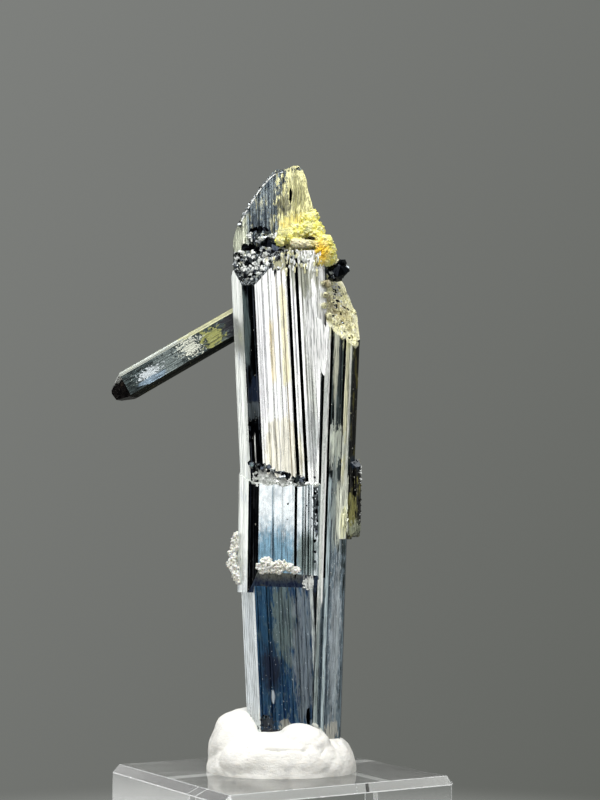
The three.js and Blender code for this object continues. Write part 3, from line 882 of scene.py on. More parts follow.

# The stibnite skins: real streaks, tarnish and coatings, and painted light: many faces are set lighter or
# darker for the light they catch, with painted highlights, sheen and shade among the marks.
STIBNITE_FINISHES_AND_PAINTED_LIGHT = {
    # Face C, painted light: near-white and partly matte, as the lit face.
    Skin.SILVER: StibniteFinish(
        "silver_stibnite", (0.91, 0.92, 0.9), (0.56, 0.57, 0.54), (0.84, 0.84, 0.82),
        streaks=(0.56, 0.7), roughness=(0.18, 0.32), broken=0.2, lean=-0.055, datum=46.0, metal=0.72,
        marks=(
            Patch((-1.9, -4.6, 52.0), (0.9, 3.0, 9.0), (0.7, 0.7, 0.78), strength=0.3, matte=0.3,
                  scale=(2.6, 1.8)),
            Patch((0.4, -4.6, 39.4), (2.6, 3.0, 4.0), CREAM, strength=0.7, matte=0.3, scale=(1.2, 0.6)),
            Stripe(4.25, 40.0, 62.0, 0.42, MOSS, strength=0.6),
            Stripe(-0.42, 48.0, 56.0, 0.36, (0.88, 0.74, 0.4), strength=0.55),
            Stripe(1.15, 48.0, 60.5, 0.5, LEMON, strength=0.55),
            Stripe(0.42, 49.0, 63.0, 0.06, BROWN, strength=0.8),
            Stripe(-0.18, 37.0, 63.0, 0.05, (0.3, 0.31, 0.33)),
            Stripe(1.17, 36.0, 63.0, 0.09, BROWN),
            # Painted shade: black down the two deep slits.
            Stripe(1.95, 35.0, 65.0, 0.13, BLACK, strength=1.0),
            Stripe(2.97, 35.0, 65.0, 0.12, BLACK, strength=1.0),
            Stripe(2.57, 49.0, 60.0, 0.05, (0.3, 0.28, 0.36)),
            Stripe(3.7, 38.0, 63.5, 0.08, (0.24, 0.25, 0.2)),
            # Painted highlight: white over the flake and corner right of face C.
            Patch((5.2, -4.3, 54.4), (1.5, 1.5, 5.0), (0.95, 0.96, 0.94), strength=1.0, ragged=0.3, soft=0.4),
            Patch((3.7, -4.5, 41.5), (1.2, 2.0, 3.6), (0.5, 0.53, 0.54), strength=0.6, matte=0.2),
            Patch((1.5, -4.5, 63.9), (1.9, 3.0, 1.5), OLIVE, strength=0.85, matte=0.6, ragged=1.2,
                  scale=(3.4, 0.9)),
            Patch((4.0, -4.5, 61.8), (1.8, 3.0, 2.2), (0.3, 0.31, 0.22), strength=0.75, matte=0.6,
                  ragged=2.0, scale=(3.6, 0.5)),
        ),
    ),
    Skin.FADING: StibniteFinish(
        "silver_to_blue_stibnite", (0.68, 0.73, 0.74), (0.38, 0.42, 0.44), (0.58, 0.65, 0.69),
        streaks=(0.58, 0.74), roughness=(0.18, 0.34), lean=0.01, datum=30.0, blotch_scale=(1.3, 0.9),
        marks=(
            Patch((-0.6, -4.7, 26.2), (3.8, 3.0, 4.0), (0.15, 0.29, 0.39), matte=0.1, ragged=0.6, soft=0.5,
                  scale=(2.2, 1.4)),
            Patch((3.6, -4.6, 26.6), (1.5, 2.5, 2.9), (0.19, 0.24, 0.23), matte=0.1, soft=0.4,
                  scale=(2.4, 0.5)),
            # Painted shade: near-black along the line of small hollows near the right edge.
            Patch((4.8, -4.6, 32.4), (0.5, 2.5, 3.4), (0.012, 0.018, 0.02), matte=0.0, ragged=2.2, soft=0.15,
                  scale=(3.0, 1.6)),
            Stripe(-0.8, 25.0, 34.6, 0.06, (0.22, 0.3, 0.36)),
            # Painted shade: black down the deep slit.
            Stripe(2.12, 24.0, 35.6, 0.11, BLACK, strength=1.0),
        ),
    ),
    # Face A, painted light: pale and partly matte, as a lit face.
    Skin.PALE: StibniteFinish(
        "pale_stibnite", (0.9, 0.93, 0.88), (0.58, 0.64, 0.62), (0.72, 0.76, 0.8),
        streaks=(0.56, 0.8), tints=(0.54, 0.74), roughness=(0.26, 0.44), lean=-0.05, datum=46.0, metal=0.6,
        marks=(
            Patch((-4.6, -2.2, 14.0), (3.0, 4.0, 11.0), (0.6, 0.66, 0.7), strength=0.8, matte=0.2, soft=0.5),
        ),
    ),
    # Painted shade and painted dark reflection: stibnite made near-black for face B, the shaded sides, the
    # deep slits and the walls of the hollows.
    Skin.BLACK: StibniteFinish(
        "black_stibnite", (0.022, 0.026, 0.032), (0.008, 0.01, 0.016), (0.05, 0.07, 0.07),
        tints=(0.58, 0.7), roughness=(0.1, 0.26), specks=0.01, lean=-0.055, datum=46.0,
        marks=(
            # Painted sheen: a dark grey-green matte patch standing for a reflection high on face B.
            Patch((-3.8, -3.2, 55.2), (0.75, 2.5, 5.0), (0.085, 0.12, 0.12), matte=0.85, ragged=0.5,
                  scale=(2.4, 0.5)),
            Patch((-2.9, -4.2, 47.0), (0.8, 2.5, 2.0), (0.002, 0.01, 0.032)),
            Patch((-3.2, -3.8, 44.6), (1.2, 2.5, 1.2), (0.09, 0.11, 0.12), strength=0.8),
            Stripe(-3.26, 37.4, 41.6, 0.09, WHITE, strength=0.95, matte=0.8),
        ),
    ),
    # The lower stem's front: blue tarnish, made darker than the metal as painted shade for the dark it
    # reflects.
    Skin.NAVY: StibniteFinish(
        "navy_stibnite", (0.04, 0.095, 0.165), (0.008, 0.026, 0.075), (0.12, 0.17, 0.19),
        streaks=(0.4, 0.58), tints=(0.52, 0.66), roughness=(0.26, 0.46), blotch_scale=(2.4, 0.8),
        streak_scale=(3.4, 0.14), specks=0.03, speck_color=(0.36, 0.42, 0.46), lean=-0.05, datum=15.0,
        broken=0.3,
        marks=(
            Patch((-0.9, -4.1, 17.0), (2.2, 3.0, 8.0), (0.022, 0.07, 0.125), strength=0.7, matte=0.1,
                  ragged=1.8, soft=0.4, scale=(2.4, 1.0)),
            Stripe(4.4, 3.0, 26.0, 0.22, (0.66, 0.72, 0.68), strength=0.95, matte=0.5),
            Patch((0.9, -4.1, 18.6), (1.5, 2.5, 5.0), (0.2, 0.24, 0.18), strength=0.45, matte=0.3,
                  ragged=1.4, scale=(2.8, 0.6)),
            Patch((3.2, -4.0, 14.0), (1.3, 3.0, 9.0), (0.22, 0.26, 0.28), strength=0.7, matte=0.3, ragged=1.4,
                  scale=(2.8, 0.5)),
            Patch((-1.0, -4.1, 12.6), (1.2, 2.5, 2.6), (0.004, 0.01, 0.03), matte=0.3, soft=0.5,
                  scale=(2.2, 0.8)),
            Patch((-0.9, -4.1, 9.4), (0.24, 2.5, 0.8), (0.55, 0.62, 0.66), strength=0.8, matte=0.6,
                  ragged=0.5),
            # Painted shade: a near-black band where the stem goes into the putty.
            Patch((-0.6, -4.1, 4.95), (3.6, 2.5, 0.5), (0.01, 0.01, 0.01), ragged=0.5, scale=(2.4, 2.4)),
            Patch((-1.8, -4.1, 6.2), (0.9, 2.5, 0.9), (0.03, 0.035, 0.04), strength=0.9, matte=0.6,
                  ragged=1.8, scale=(2.8, 2.8)),
            Patch((0.4, -4.1, 5.9), (0.8, 2.5, 0.6), (0.34, 0.33, 0.27), strength=0.8, matte=0.6, ragged=1.6,
                  scale=(2.4, 1.6)),
        ),
    ),
    # Painted shade under the middle stem's overhang: dark navy, with a lighter grey band along its upper
    # edge.
    Skin.UNDERCUT: StibniteFinish(
        "undercut_stibnite", (0.035, 0.055, 0.09), (0.006, 0.012, 0.045), (0.1, 0.11, 0.1),
        streaks=(0.44, 0.6), tints=(0.58, 0.72), roughness=(0.3, 0.5), metal=0.8, blotch_scale=(0.8, 0.8),
        marks=(
            Patch((0.0, -4.7, 24.7), (4.5, 3.0, 1.1), (0.19, 0.2, 0.17), strength=0.9, matte=0.4, ragged=0.6,
                  soft=0.5, scale=(1.8, 0.8)),
            Stripe(3.15, 19.0, 26.0, 0.07, (0.6, 0.62, 0.6), strength=0.8, matte=0.7),
            Stripe(3.65, 19.0, 26.0, 0.12, WHITE, matte=0.7),
            Stripe(4.15, 19.0, 26.0, 0.14, WHITE, matte=0.7),
        ),
    ),
    Skin.STEEL: StibniteFinish(
        "steel_stibnite", (0.4, 0.47, 0.52), (0.09, 0.12, 0.17), (0.42, 0.44, 0.42),
        streaks=(0.46, 0.6), roughness=(0.2, 0.4), specks=0.02,
        marks=(
            Patch((5.3, -4.1, 28.5), (0.9, 1.6, 6.6), (0.36, 0.43, 0.42), strength=0.9, matte=0.7, ragged=1.4,
                  soft=0.3, scale=(3.0, 0.7)),
        ),
    ),
    # Painted highlight: near-white and mostly matte, on the narrow lit facet of the right stem and on some
    # small bits.
    Skin.BRIGHT: StibniteFinish(
        "bright_stripe_stibnite", (0.84, 0.87, 0.82), (0.46, 0.5, 0.48), (0.76, 0.78, 0.64),
        streaks=(0.54, 0.72), roughness=(0.22, 0.4), metal=0.3, lean=0.035, datum=15.0, broken=0.5,
        blotch_scale=(1.5, 0.5),
        marks=(
            Patch((4.7, -4.5, 12.0), (2.0, 3.0, 9.0), (0.24, 0.3, 0.3), strength=0.9, matte=0.3, soft=0.5,
                  scale=(2.4, 0.8)),
            Patch((4.8, -4.5, 53.5), (0.9, 1.5, 5.0), (0.95, 0.96, 0.94), strength=1.0, ragged=0.4,
                  scale=(1.6, 0.8)),
        ),
    ),
    Skin.RIBBED: StibniteFinish(
        "ribbed_stibnite", (0.055, 0.075, 0.075), (0.01, 0.012, 0.014), (0.1, 0.13, 0.13),
        streaks=(0.46, 0.58), roughness=(0.18, 0.36), specks=0.02, lean=0.035, datum=15.0,
        marks=(
            Patch((6.4, -3.6, 12.0), (2.4, 3.5, 17.0), (0.22, 0.29, 0.34), strength=0.85, matte=0.35,
                  scale=(2.6, 0.6)),
            Patch((6.9, -3.6, 16.0), (0.7, 3.5, 9.0), (0.5, 0.55, 0.58), strength=0.6, matte=0.5, ragged=1.5,
                  scale=(3.4, 1.2)),
            Stripe(5.68, 0.0, 36.0, 0.22, (0.55, 0.66, 0.68), strength=0.95, matte=0.7),
            Stripe(5.98, 0.0, 36.0, 0.06, (0.02, 0.03, 0.05), matte=0.2),
            Stripe(6.05, 42.0, 55.0, 0.09, (0.6, 0.64, 0.58), matte=0.7),
            # Painted highlight: a white stripe beside the right stem's lit facet.
            Stripe(5.08, 21.0, 62.0, 0.19, (0.93, 0.94, 0.91), strength=1.0, matte=0.8),
            Patch((5.6, -4.4, 40.2), (0.5, 1.5, 2.6), (0.62, 0.67, 0.6), strength=0.9, ragged=1.2,
                  scale=(2.8, 1.4)),
            Patch((5.94, -3.9, 52.0), (0.34, 2.0, 6.0), (0.62, 0.63, 0.5), ragged=0.6, soft=0.3,
                  scale=(3.4, 0.5)),
            Patch((6.5, -3.9, 40.4), (1.0, 2.0, 2.3), (0.66, 0.71, 0.6), ragged=1.4, scale=(3.0, 1.2)),
            Patch((6.9, -3.6, 32.0), (0.55, 2.0, 3.8), (0.82, 0.86, 0.72), scale=(3.0, 0.6)),
            Patch((6.25, -3.9, 33.5), (0.35, 2.0, 6.0), (0.36, 0.42, 0.4), strength=0.8, matte=0.6,
                  ragged=1.2, scale=(3.0, 0.5)),
            Stripe(7.2, 2.0, 30.0, 0.1, (0.52, 0.6, 0.62), strength=0.8, matte=0.5),
            Patch((6.8, -3.5, 5.0), (0.9, 2.5, 1.3), (0.52, 0.51, 0.44), strength=0.85, ragged=1.5,
                  scale=(3.0, 0.7)),
            Patch((5.3, -4.0, 56.5), (0.8, 2.0, 2.4), (0.66, 0.66, 0.44), strength=0.9, ragged=1.6,
                  scale=(3.0, 0.9)),
        ),
    ),
    Skin.OUTER: StibniteFinish(
        "outer_stibnite", (0.06, 0.08, 0.075), (0.008, 0.01, 0.012), (0.14, 0.17, 0.15),
        streaks=(0.46, 0.58), roughness=(0.18, 0.38), specks=0.03, speck_color=(0.75, 0.72, 0.45),
        lean=0.045, datum=46.0,
        marks=(
            Stripe(7.25, 42.0, 54.0, 0.09, (0.52, 0.58, 0.56), strength=0.95, matte=0.7),
            Stripe(8.46, 28.0, 62.0, 0.27, (0.86, 0.85, 0.6), strength=0.95, matte=0.7),
            Stripe(8.36, 28.0, 60.0, 0.03, (0.22, 0.22, 0.08), strength=0.8, matte=0.7),
            Stripe(8.6, 28.0, 58.0, 0.03, (0.26, 0.26, 0.12), strength=0.8, matte=0.7),
            Stripe(8.86, 28.0, 62.0, 0.14, (0.9, 0.91, 0.8), strength=1.0, matte=0.6),
            Patch((7.9, -3.2, 55.6), (2.0, 2.5, 3.0), (0.6, 0.6, 0.34), ragged=1.4, scale=(2.8, 0.8)),
            Patch((7.7, -3.3, 39.9), (1.2, 2.0, 1.9), (0.66, 0.7, 0.6), ragged=1.4, scale=(3.0, 1.6)),
            Patch((7.6, -3.3, 38.4), (0.6, 2.0, 0.5), LEMON, strength=0.9, ragged=0.8),
            Patch((8.2, -3.1, 32.0), (1.6, 2.0, 4.6), (0.9, 0.93, 0.78), strength=1.0, scale=(2.8, 0.5)),
            Patch((8.75, -3.0, 30.4), (0.45, 2.0, 2.0), (0.95, 0.95, 0.62), strength=0.8),
        ),
    ),
    Skin.EDGE: StibniteFinish(
        "edge_stibnite", (0.06, 0.06, 0.055), (0.008, 0.008, 0.01), (0.22, 0.2, 0.06),
        tints=(0.5, 0.62), roughness=(0.14, 0.36), specks=0.04, speck_color=(0.75, 0.74, 0.62),
        marks=(
            Patch((9.1, -2.0, 31.4), (0.6, 1.5, 3.0), (0.24, 0.23, 0.07), strength=0.9, ragged=2.4, soft=0.15,
                  scale=(3.6, 0.6)),
            Patch((9.6, -1.4, 29.9), (1.0, 1.5, 0.9), (0.34, 0.37, 0.26), strength=0.8, ragged=2.2, soft=0.15,
                  scale=(3.2, 2.4)),
            Patch((9.6, -1.4, 38.3), (0.9, 1.5, 0.9), (0.03, 0.045, 0.07), matte=0.3, ragged=0.6),
        ),
    ),
    Skin.TIP: StibniteFinish(
        "tip_stibnite", (0.155, 0.185, 0.195), (0.025, 0.035, 0.045), (0.4, 0.4, 0.28),
        streaks=(0.4, 0.6), roughness=(0.24, 0.44), streak_scale=(2.6, 0.16), relief=0.02, broken=0.6,
        tints=(0.54, 0.64), blotch_scale=(1.8, 0.35), grit=0.08, metal=0.85, specks=0.05,
        speck_color=(0.22, 0.2, 0.08),
        marks=(
            Patch((3.2, -1.5, 71.0), (3.0, 6.0, 8.0), (0.98, 0.94, 0.48), matte=0.9, ragged=1.3,
                  scale=(1.9, 0.7)),
            Patch((2.2, -1.5, 73.0), (1.2, 6.0, 2.4), (0.34, 0.33, 0.14), strength=0.8, ragged=2.4, soft=0.15,
                  scale=(3.2, 0.7)),
            Patch((3.8, -1.5, 69.8), (0.8, 6.0, 2.0), (0.36, 0.34, 0.13), strength=0.7, ragged=2.4, soft=0.15,
                  scale=(3.2, 0.6)),
            Patch((0.6, -1.5, 71.4), (0.9, 6.0, 1.6), (0.1, 0.1, 0.06), strength=0.8, ragged=1.2,
                  scale=(2.6, 1.0)),
            Patch((2.4, -1.5, 68.6), (2.2, 6.0, 1.8), (0.86, 0.74, 0.22), strength=0.9, matte=0.9,
                  scale=(2.4, 1.6)),
            Patch((-5.2, -1.2, 67.4), (1.1, 3.0, 2.6), (0.74, 0.78, 0.6), strength=1.0, matte=0.6,
                  ragged=0.5, soft=0.4, scale=(1.6, 0.8)),
        ),
    ),
    Skin.RIM: StibniteFinish(
        "rim_stibnite", (0.44, 0.47, 0.48), (0.06, 0.07, 0.08), (0.5, 0.48, 0.32),
        streaks=(0.44, 0.6), streak_scale=(1.6, 0.5), roughness=(0.26, 0.46), metal=0.85, grit=0.08,
    ),
    Skin.SPUR: StibniteFinish(
        "spur_stibnite", (0.075, 0.1, 0.1), (0.016, 0.022, 0.022), (0.14, 0.17, 0.15),
        streaks=(0.4, 0.6), roughness=(0.26, 0.5), specks=0.05, speck_color=(0.42, 0.47, 0.42),
        streak_scale=(3.2, 0.7), blotch_scale=(1.2, 0.8), grit=0.05, metal=0.8, broken=0.6,
        marks=(
            Patch((-0.1, 1.2, 9.9), (1.1, 1.4, 1.4), (0.74, 0.76, 0.64), ragged=3.0, soft=0.12,
                  scale=(3.8, 3.8)),
            Patch((0.2, 1.2, 13.4), (1.6, 1.4, 1.9), (0.26, 0.31, 0.3), strength=0.6, matte=0.5, ragged=1.4,
                  scale=(2.4, 1.6)),
            Patch((0.1, 1.2, 16.2), (0.6, 1.4, 1.4), (0.66, 0.72, 0.74), strength=0.9, matte=0.7, ragged=2.4,
                  soft=0.12, scale=(3.8, 2.8)),
            Patch((0.9, 1.2, 16.0), (0.4, 1.4, 2.0), (0.28, 0.38, 0.47), strength=0.9, matte=0.3, ragged=0.7),
            Patch((0.3, 1.2, 6.7), (1.5, 1.4, 1.5), (0.36, 0.37, 0.11), strength=0.9, matte=0.7, ragged=1.8,
                  scale=(2.4, 1.8)),
            # Painted shade where the spur comes out of the upper stem.
            Patch((0.0, 1.2, 2.6), (2.2, 1.6, 2.4), BLACK, matte=0.6, ragged=1.2, scale=(2.2, 1.2)),
        ),
    ),
    # Painted light: the spur's upper faces, lighter as lit from above.
    Skin.SPUR_TOP: StibniteFinish(
        "spur_top_stibnite", (0.56, 0.6, 0.56), (0.16, 0.17, 0.13), (0.4, 0.4, 0.22),
        streaks=(0.42, 0.62), roughness=(0.26, 0.46), metal=0.4, broken=0.4,
        marks=(Patch((-2.0, 0.6, 3.0), (3.0, 3.0, 7.5), (0.52, 0.51, 0.26), strength=0.8, matte=0.6),),
    ),
    # Painted shade: the spur's under faces, near-black.
    Skin.SPUR_UNDER: StibniteFinish(
        "spur_under_stibnite", (0.03, 0.032, 0.026), (0.008, 0.009, 0.008), (0.09, 0.08, 0.035),
        streaks=(0.44, 0.6), roughness=(0.3, 0.5), specks=0.03, speck_color=(0.26, 0.24, 0.14),
    ),
    Skin.SPUR_END: StibniteFinish(
        "spur_end_stibnite", (0.03, 0.026, 0.026), (0.008, 0.007, 0.008), (0.1, 0.075, 0.06),
        streaks=(0.42, 0.6), streak_scale=(1.6, 1.6), roughness=(0.28, 0.5), specks=0.04,
        speck_color=(0.4, 0.38, 0.34), grit=0.08,
        marks=(
            Patch((-1.5, 0.8, 19.6), (0.7, 1.8, 1.6), (0.52, 0.53, 0.5), strength=0.9, matte=0.6, ragged=0.8,
                  scale=(3.0, 3.0)),
        ),
    ),
    Skin.GLINT: StibniteFinish(
        "broken_stibnite", (0.46, 0.5, 0.52), (0.03, 0.034, 0.04), (0.6, 0.59, 0.5),
        streaks=(0.44, 0.56), roughness=(0.08, 0.26), blotch_scale=(1.6, 1.6), streak_scale=(2.2, 2.2),
        grit=0.04,
    ),
    Skin.CHALK: StibniteFinish(
        "granular_stibnite", (0.88, 0.9, 0.87), (0.34, 0.36, 0.33), (0.8, 0.79, 0.66),
        streaks=(0.54, 0.66), streak_scale=(3.0, 3.0), roughness=(0.3, 0.5), metal=0.15, grit=0.14,
    ),
    Skin.SHOULDER: StibniteFinish(
        "shoulder_crust", (1.0, 0.97, 0.6), (0.14, 0.12, 0.05), (1.0, 0.99, 0.78),
        streaks=(0.54, 0.64), tints=(0.5, 0.62), roughness=(0.4, 0.7), metal=0.1, grit=0.16,
        blotch_scale=(1.3, 1.3), streak_scale=(3.0, 0.6), broken=0.6,
        marks=(
            Patch((7.4, -1.8, 61.0), (0.6, 2.5, 2.4), (0.62, 0.62, 0.58), strength=0.85, matte=0.6,
                  ragged=1.2, scale=(3.0, 2.4)),
            Patch((8.3, -1.6, 57.6), (1.5, 2.5, 1.8), (0.46, 0.37, 0.13), strength=0.6, matte=0.6, ragged=2.6,
                  soft=0.15, scale=(2.6, 1.4)),
            Patch((6.6, -3.0, 58.4), (0.8, 2.5, 2.2), (0.16, 0.13, 0.07), strength=0.65, matte=0.6,
                  ragged=2.6, soft=0.15, scale=(3.0, 1.2)),
            Patch((6.1, -3.0, 61.4), (0.6, 2.5, 2.2), (0.36, 0.28, 0.14), strength=0.7, matte=0.6, ragged=1.6,
                  scale=(2.6, 1.6)),
        ),
    ),
}
YELLOW_CRUST = CrustFinish(
    "yellow_crust", main=(0.97, 0.9, 0.22), pale=(0.99, 0.97, 0.5), deep=(0.8, 0.67, 0.16),
    marks=(
        Patch((5.3, -4.8, 64.7), (1.0, 2.0, 1.5), (0.96, 0.62, 0.03), strength=1.0, matte=0.6, ragged=0.5,
              soft=0.8, scale=(1.4, 1.4)),
        Patch((2.6, -4.6, 65.7), (2.0, 1.5, 0.75), (0.88, 0.82, 0.58), strength=0.9, matte=0.6, ragged=0.5,
              soft=0.4, scale=(1.2, 1.2)),
        # Painted shade: near-black in the crevice above the cream lump.
        Patch((3.7, -4.0, 66.6), (0.95, 2.0, 0.3), (0.012, 0.01, 0.006), strength=1.0, matte=0.6,
              ragged=0.25),
        Patch((0.3, -3.6, 67.6), (1.2, 1.5, 0.9), (0.62, 0.6, 0.3), strength=0.7, matte=0.6, ragged=1.2,
              scale=(2.4, 2.4)),
    ),
)
CLEAR_ACRYLIC = AcrylicFinish("clear_acrylic", haze=(0.0, 0.06), clearness=1.0)
WORN_EDGES = AcrylicFinish("worn_acrylic_edges", haze=(0.25, 0.5), clearness=0.55)
WHITE_CRUST = CrustFinish(
    "white_crust", main=(0.8, 0.79, 0.7), pale=(0.9, 0.9, 0.86), deep=(0.34, 0.31, 0.24),
)


# ------------ crystals


@dataclass(frozen=True)
class Cut:
    """A flat cut: everything beyond the point, along the outward direction, comes off."""

    point: Triple
    out: Triple
    skin: Skin = Skin.GLINT

    def apply(self, solid: Solid) -> None:
        """Cuts a solid and closes it with a flat face.

        Args:
            solid: The solid to cut.
        """
        everything = solid.verts[:] + solid.edges[:] + solid.faces[:]
        halved = bmesh.ops.bisect_plane(
            solid, geom=everything, dist=WELD, plane_co=self.point, plane_no=self.out, clear_outer=True
        )
        rim = [item for item in halved["geom_cut"] if isinstance(item, bmesh.types.BMEdge)]
        paint(bmesh.ops.edgeloop_fill(solid, edges=rim)["faces"], self.skin)

    def height(self, x: float, y: float) -> float:
        """The height of the cut above a point."""
        drop = self.out[0] * (x - self.point[0]) + self.out[1] * (y - self.point[1])
        return self.point[2] - drop / self.out[2]


SIDE_END = 0.12  # kept free of striations at the end of a side
STRIA_START = (0.3, 0.8)  # as a share of the pitch
STRIA_WIDTH = (0.07, 0.2)
STRIA_DEPTH = (0.35, 1.5)  # as a share of the relief
STRIA_STEP = (0.45, 1.6)  # as a share of the pitch
CORNER_LAND = 0.03  # kept flat between a corner and the first striation
STRIA_LAND = 0.05  # kept flat between two striations
SLIT_LAND = 0.04  # kept flat between a slit and a striation
LEAST_LAND = 0.02  # kept flat between any two grooves
LIP_DEPTH = 0.35  # at most, as a share of the relief
FAINT = 0.2  # the share of a striation's depth that is left where a side is calm
DEEP_SLIT = 0.24  # from this depth on a slit is painted black, as shade
FINE_DEPTH = 0.2  # a groove below this depth swings fully along its length
SLIT_SWING = 0.3  # how much of that a deeper one does
SWING_WAVES = (3.1, 0.12)  # per millimetre across the crystal and along it
SWING_LIMITS = (0.1, 1.6)
MEAN_SWING = 0.9


def spot_key(point: Vector) -> Pair:
    """A point's place in a table of an outline's points."""
    return round(point.x, 4), round(point.y, 4)


@dataclass(frozen=True)
class Stem:
    """One striated crystal along Z.

    corners is its outline [x, y] at height `at`, counter-clockwise from the left edge, and skins its sides'
    finishes. lean is the shift per millimetre of height, and thinning the growth in y. slits are deep grooves
    (left edge, width, depth) in side `front`, whose striations are faint between the two values of calm;
    above dark_from the deepest are black. pitch and relief are the fine striations' spacing and depth.
    """

    corners: tuple[Pair, ...]
    skins: tuple[Skin, ...]
    at: float
    bottom: float
    top: float
    seed: int
    lean: Pair = (0.0, 0.0)
    thinning: float = 0.0
    front: int = -1
    slits: tuple[Triple, ...] = ()
    calm: Pair = (0.0, 0.0)
    cuts: tuple[Cut, ...] = ()
    pitch: float = 0.46
    relief: float = 0.06
    level: float = 1.1
    dark_from: float = 0.0

    def grooves(self, side: int, length: float, rng: random.Random) -> list[Triple]:
        """The grooves of a side, as their distance along it, width and depth.

        Args:
            side: The side's number.
            length: The side's length.
            rng: The source of the fine striations' scatter.

        Returns:
            The grooves in order, none of which meets the next.
        """
        slits = []
        if side == self.front:
            start = self.corners[side][0]
            slits = [(x + width / 2 - start, width, depth) for x, width, depth in self.slits]
        found = list(slits)
        distance = self.pitch * rng.uniform(*STRIA_START)
        while distance < length - SIDE_END:
            width = rng.uniform(*STRIA_WIDTH)
            clear = all(abs(distance - other) > (width + wide) / 2 + SLIT_LAND for other, wide, _ in slits)
            faint = side == self.front and self.calm[0] < self.corners[side][0] + distance < self.calm[1]
            depth = self.relief * rng.uniform(*STRIA_DEPTH) * (FAINT if faint else 1.0)
            if clear and distance > width / 2 + CORNER_LAND:
                found.append((distance, width, depth))
            distance += width / 2 + self.pitch * rng.uniform(*STRIA_STEP) + STRIA_LAND
        found.sort()
        kept: list[Triple] = []
        for groove in found:
            if not kept or groove[0] - groove[1] / 2 > kept[-1][0] + kept[-1][1] / 2 + LEAST_LAND:
                kept.append(groove)
        return kept

    def ring(self) -> list[tuple[Vector, Vector]]:
        """The striated outline, as points on the flat sides and how far each one is set in.

        Returns:
            The points in order, each with its inset.
        """
        rng = random.Random(self.seed)
        found = []
        for side, corner in enumerate(self.corners):
            start = Vector(corner)
            end = Vector(self.corners[(side + 1) % len(self.corners)])
            along = (end - start).normalized()
            inward = Vector((-along.y, along.x))
            found.append((start, Vector((0, 0))))
            for distance, width, depth in self.grooves(side, (end - start).length, rng):
                lips = [rng.uniform(0, LIP_DEPTH) * self.relief for _ in range(2)]
                for offset, sunk in ((-width / 2, lips[0]), (0.0, depth), (width / 2, lips[1])):
                    found.append((start + along * (distance + offset), inward * sunk))
        return found

    def side_of(self, point: Vector) -> int:
        """The number of the side that lies nearest to a point.

        Args:
            point: The point, beside the straight prism.

        Returns:
            The side's number.
        """
        def gap(side: int) -> float:
            """The distance from the point to one side, by the side's number."""
            start, end = (Vector(self.corners[number % len(self.corners)]) for number in (side, side + 1))
            return (nearest_point(point.xy, start, end) - point.xy).length

        return min(range(len(self.corners)), key=gap)

    def build(self) -> Solid:
        """Makes the crystal, striated, leaning and cut.

        Returns:
            The closed solid.
        """
        ring = self.ring()
        solid = extruded([point for point, _ in ring], self.bottom, self.top)
        uprights = [edge for edge in solid.edges if abs(edge.verts[0].co.z - edge.verts[1].co.z) > WELD]
        levels = max(1, round((self.top - self.bottom) / self.level))
        bmesh.ops.subdivide_edges(solid, edges=uprights, cuts=levels, use_grid_fill=True)
        insets = {spot_key(point): inset for point, inset in ring}
        for face in solid.faces:
            face.material_index = self.skin_of(face, insets).value
        self.press_grooves(solid, insets)
        for vertex in solid.verts:
            rise = vertex.co.z - self.at
            vertex.co.y *= 1 + self.thinning * rise
            vertex.co.xy += Vector(self.lean) * rise
        bmesh.ops.recalc_face_normals(solid, faces=solid.faces[:])
        for cut in self.cuts:
            cut.apply(solid)
        return solid

    def skin_of(self, face: bmesh.types.BMFace, insets: dict[Pair, Vector]) -> Skin:
        """The finish of one face of the straight prism.

        Args:
            face: The face.
            insets: How far each point of the outline is set in.

        Returns:
            The side's finish, or black as painted shade in a deep slit, or a broken one on an end.
        """
        if abs(face.normal.z) > 0.5:
            return Skin.GLINT
        deepest = max(insets[spot_key(vertex.co)].length for vertex in face.verts)
        middle = face.calc_center_median()
        if deepest > DEEP_SLIT and middle.z > self.dark_from:
            return Skin.BLACK
        return self.skins[self.side_of(middle)]

    def press_grooves(self, solid: Solid, insets: dict[Pair, Vector]) -> None:
        """Presses the striations in, deeper and shallower along their length.

        Args:
            solid: The straight prism over the outline.
            insets: How far each point of the outline is set in.
        """
        across, along = SWING_WAVES
        least, most = SWING_LIMITS
        for vertex in solid.verts:
            inset = insets[spot_key(vertex.co)]
            if inset.length > 0:
                x, y, z = vertex.co
                swing = noise.noise(Vector((x * across, y * across, z * along + self.seed)))
                swing *= 1.0 if inset.length < FINE_DEPTH else SLIT_SWING
                vertex.co.xy += inset * max(least, min(most, MEAN_SWING + swing))


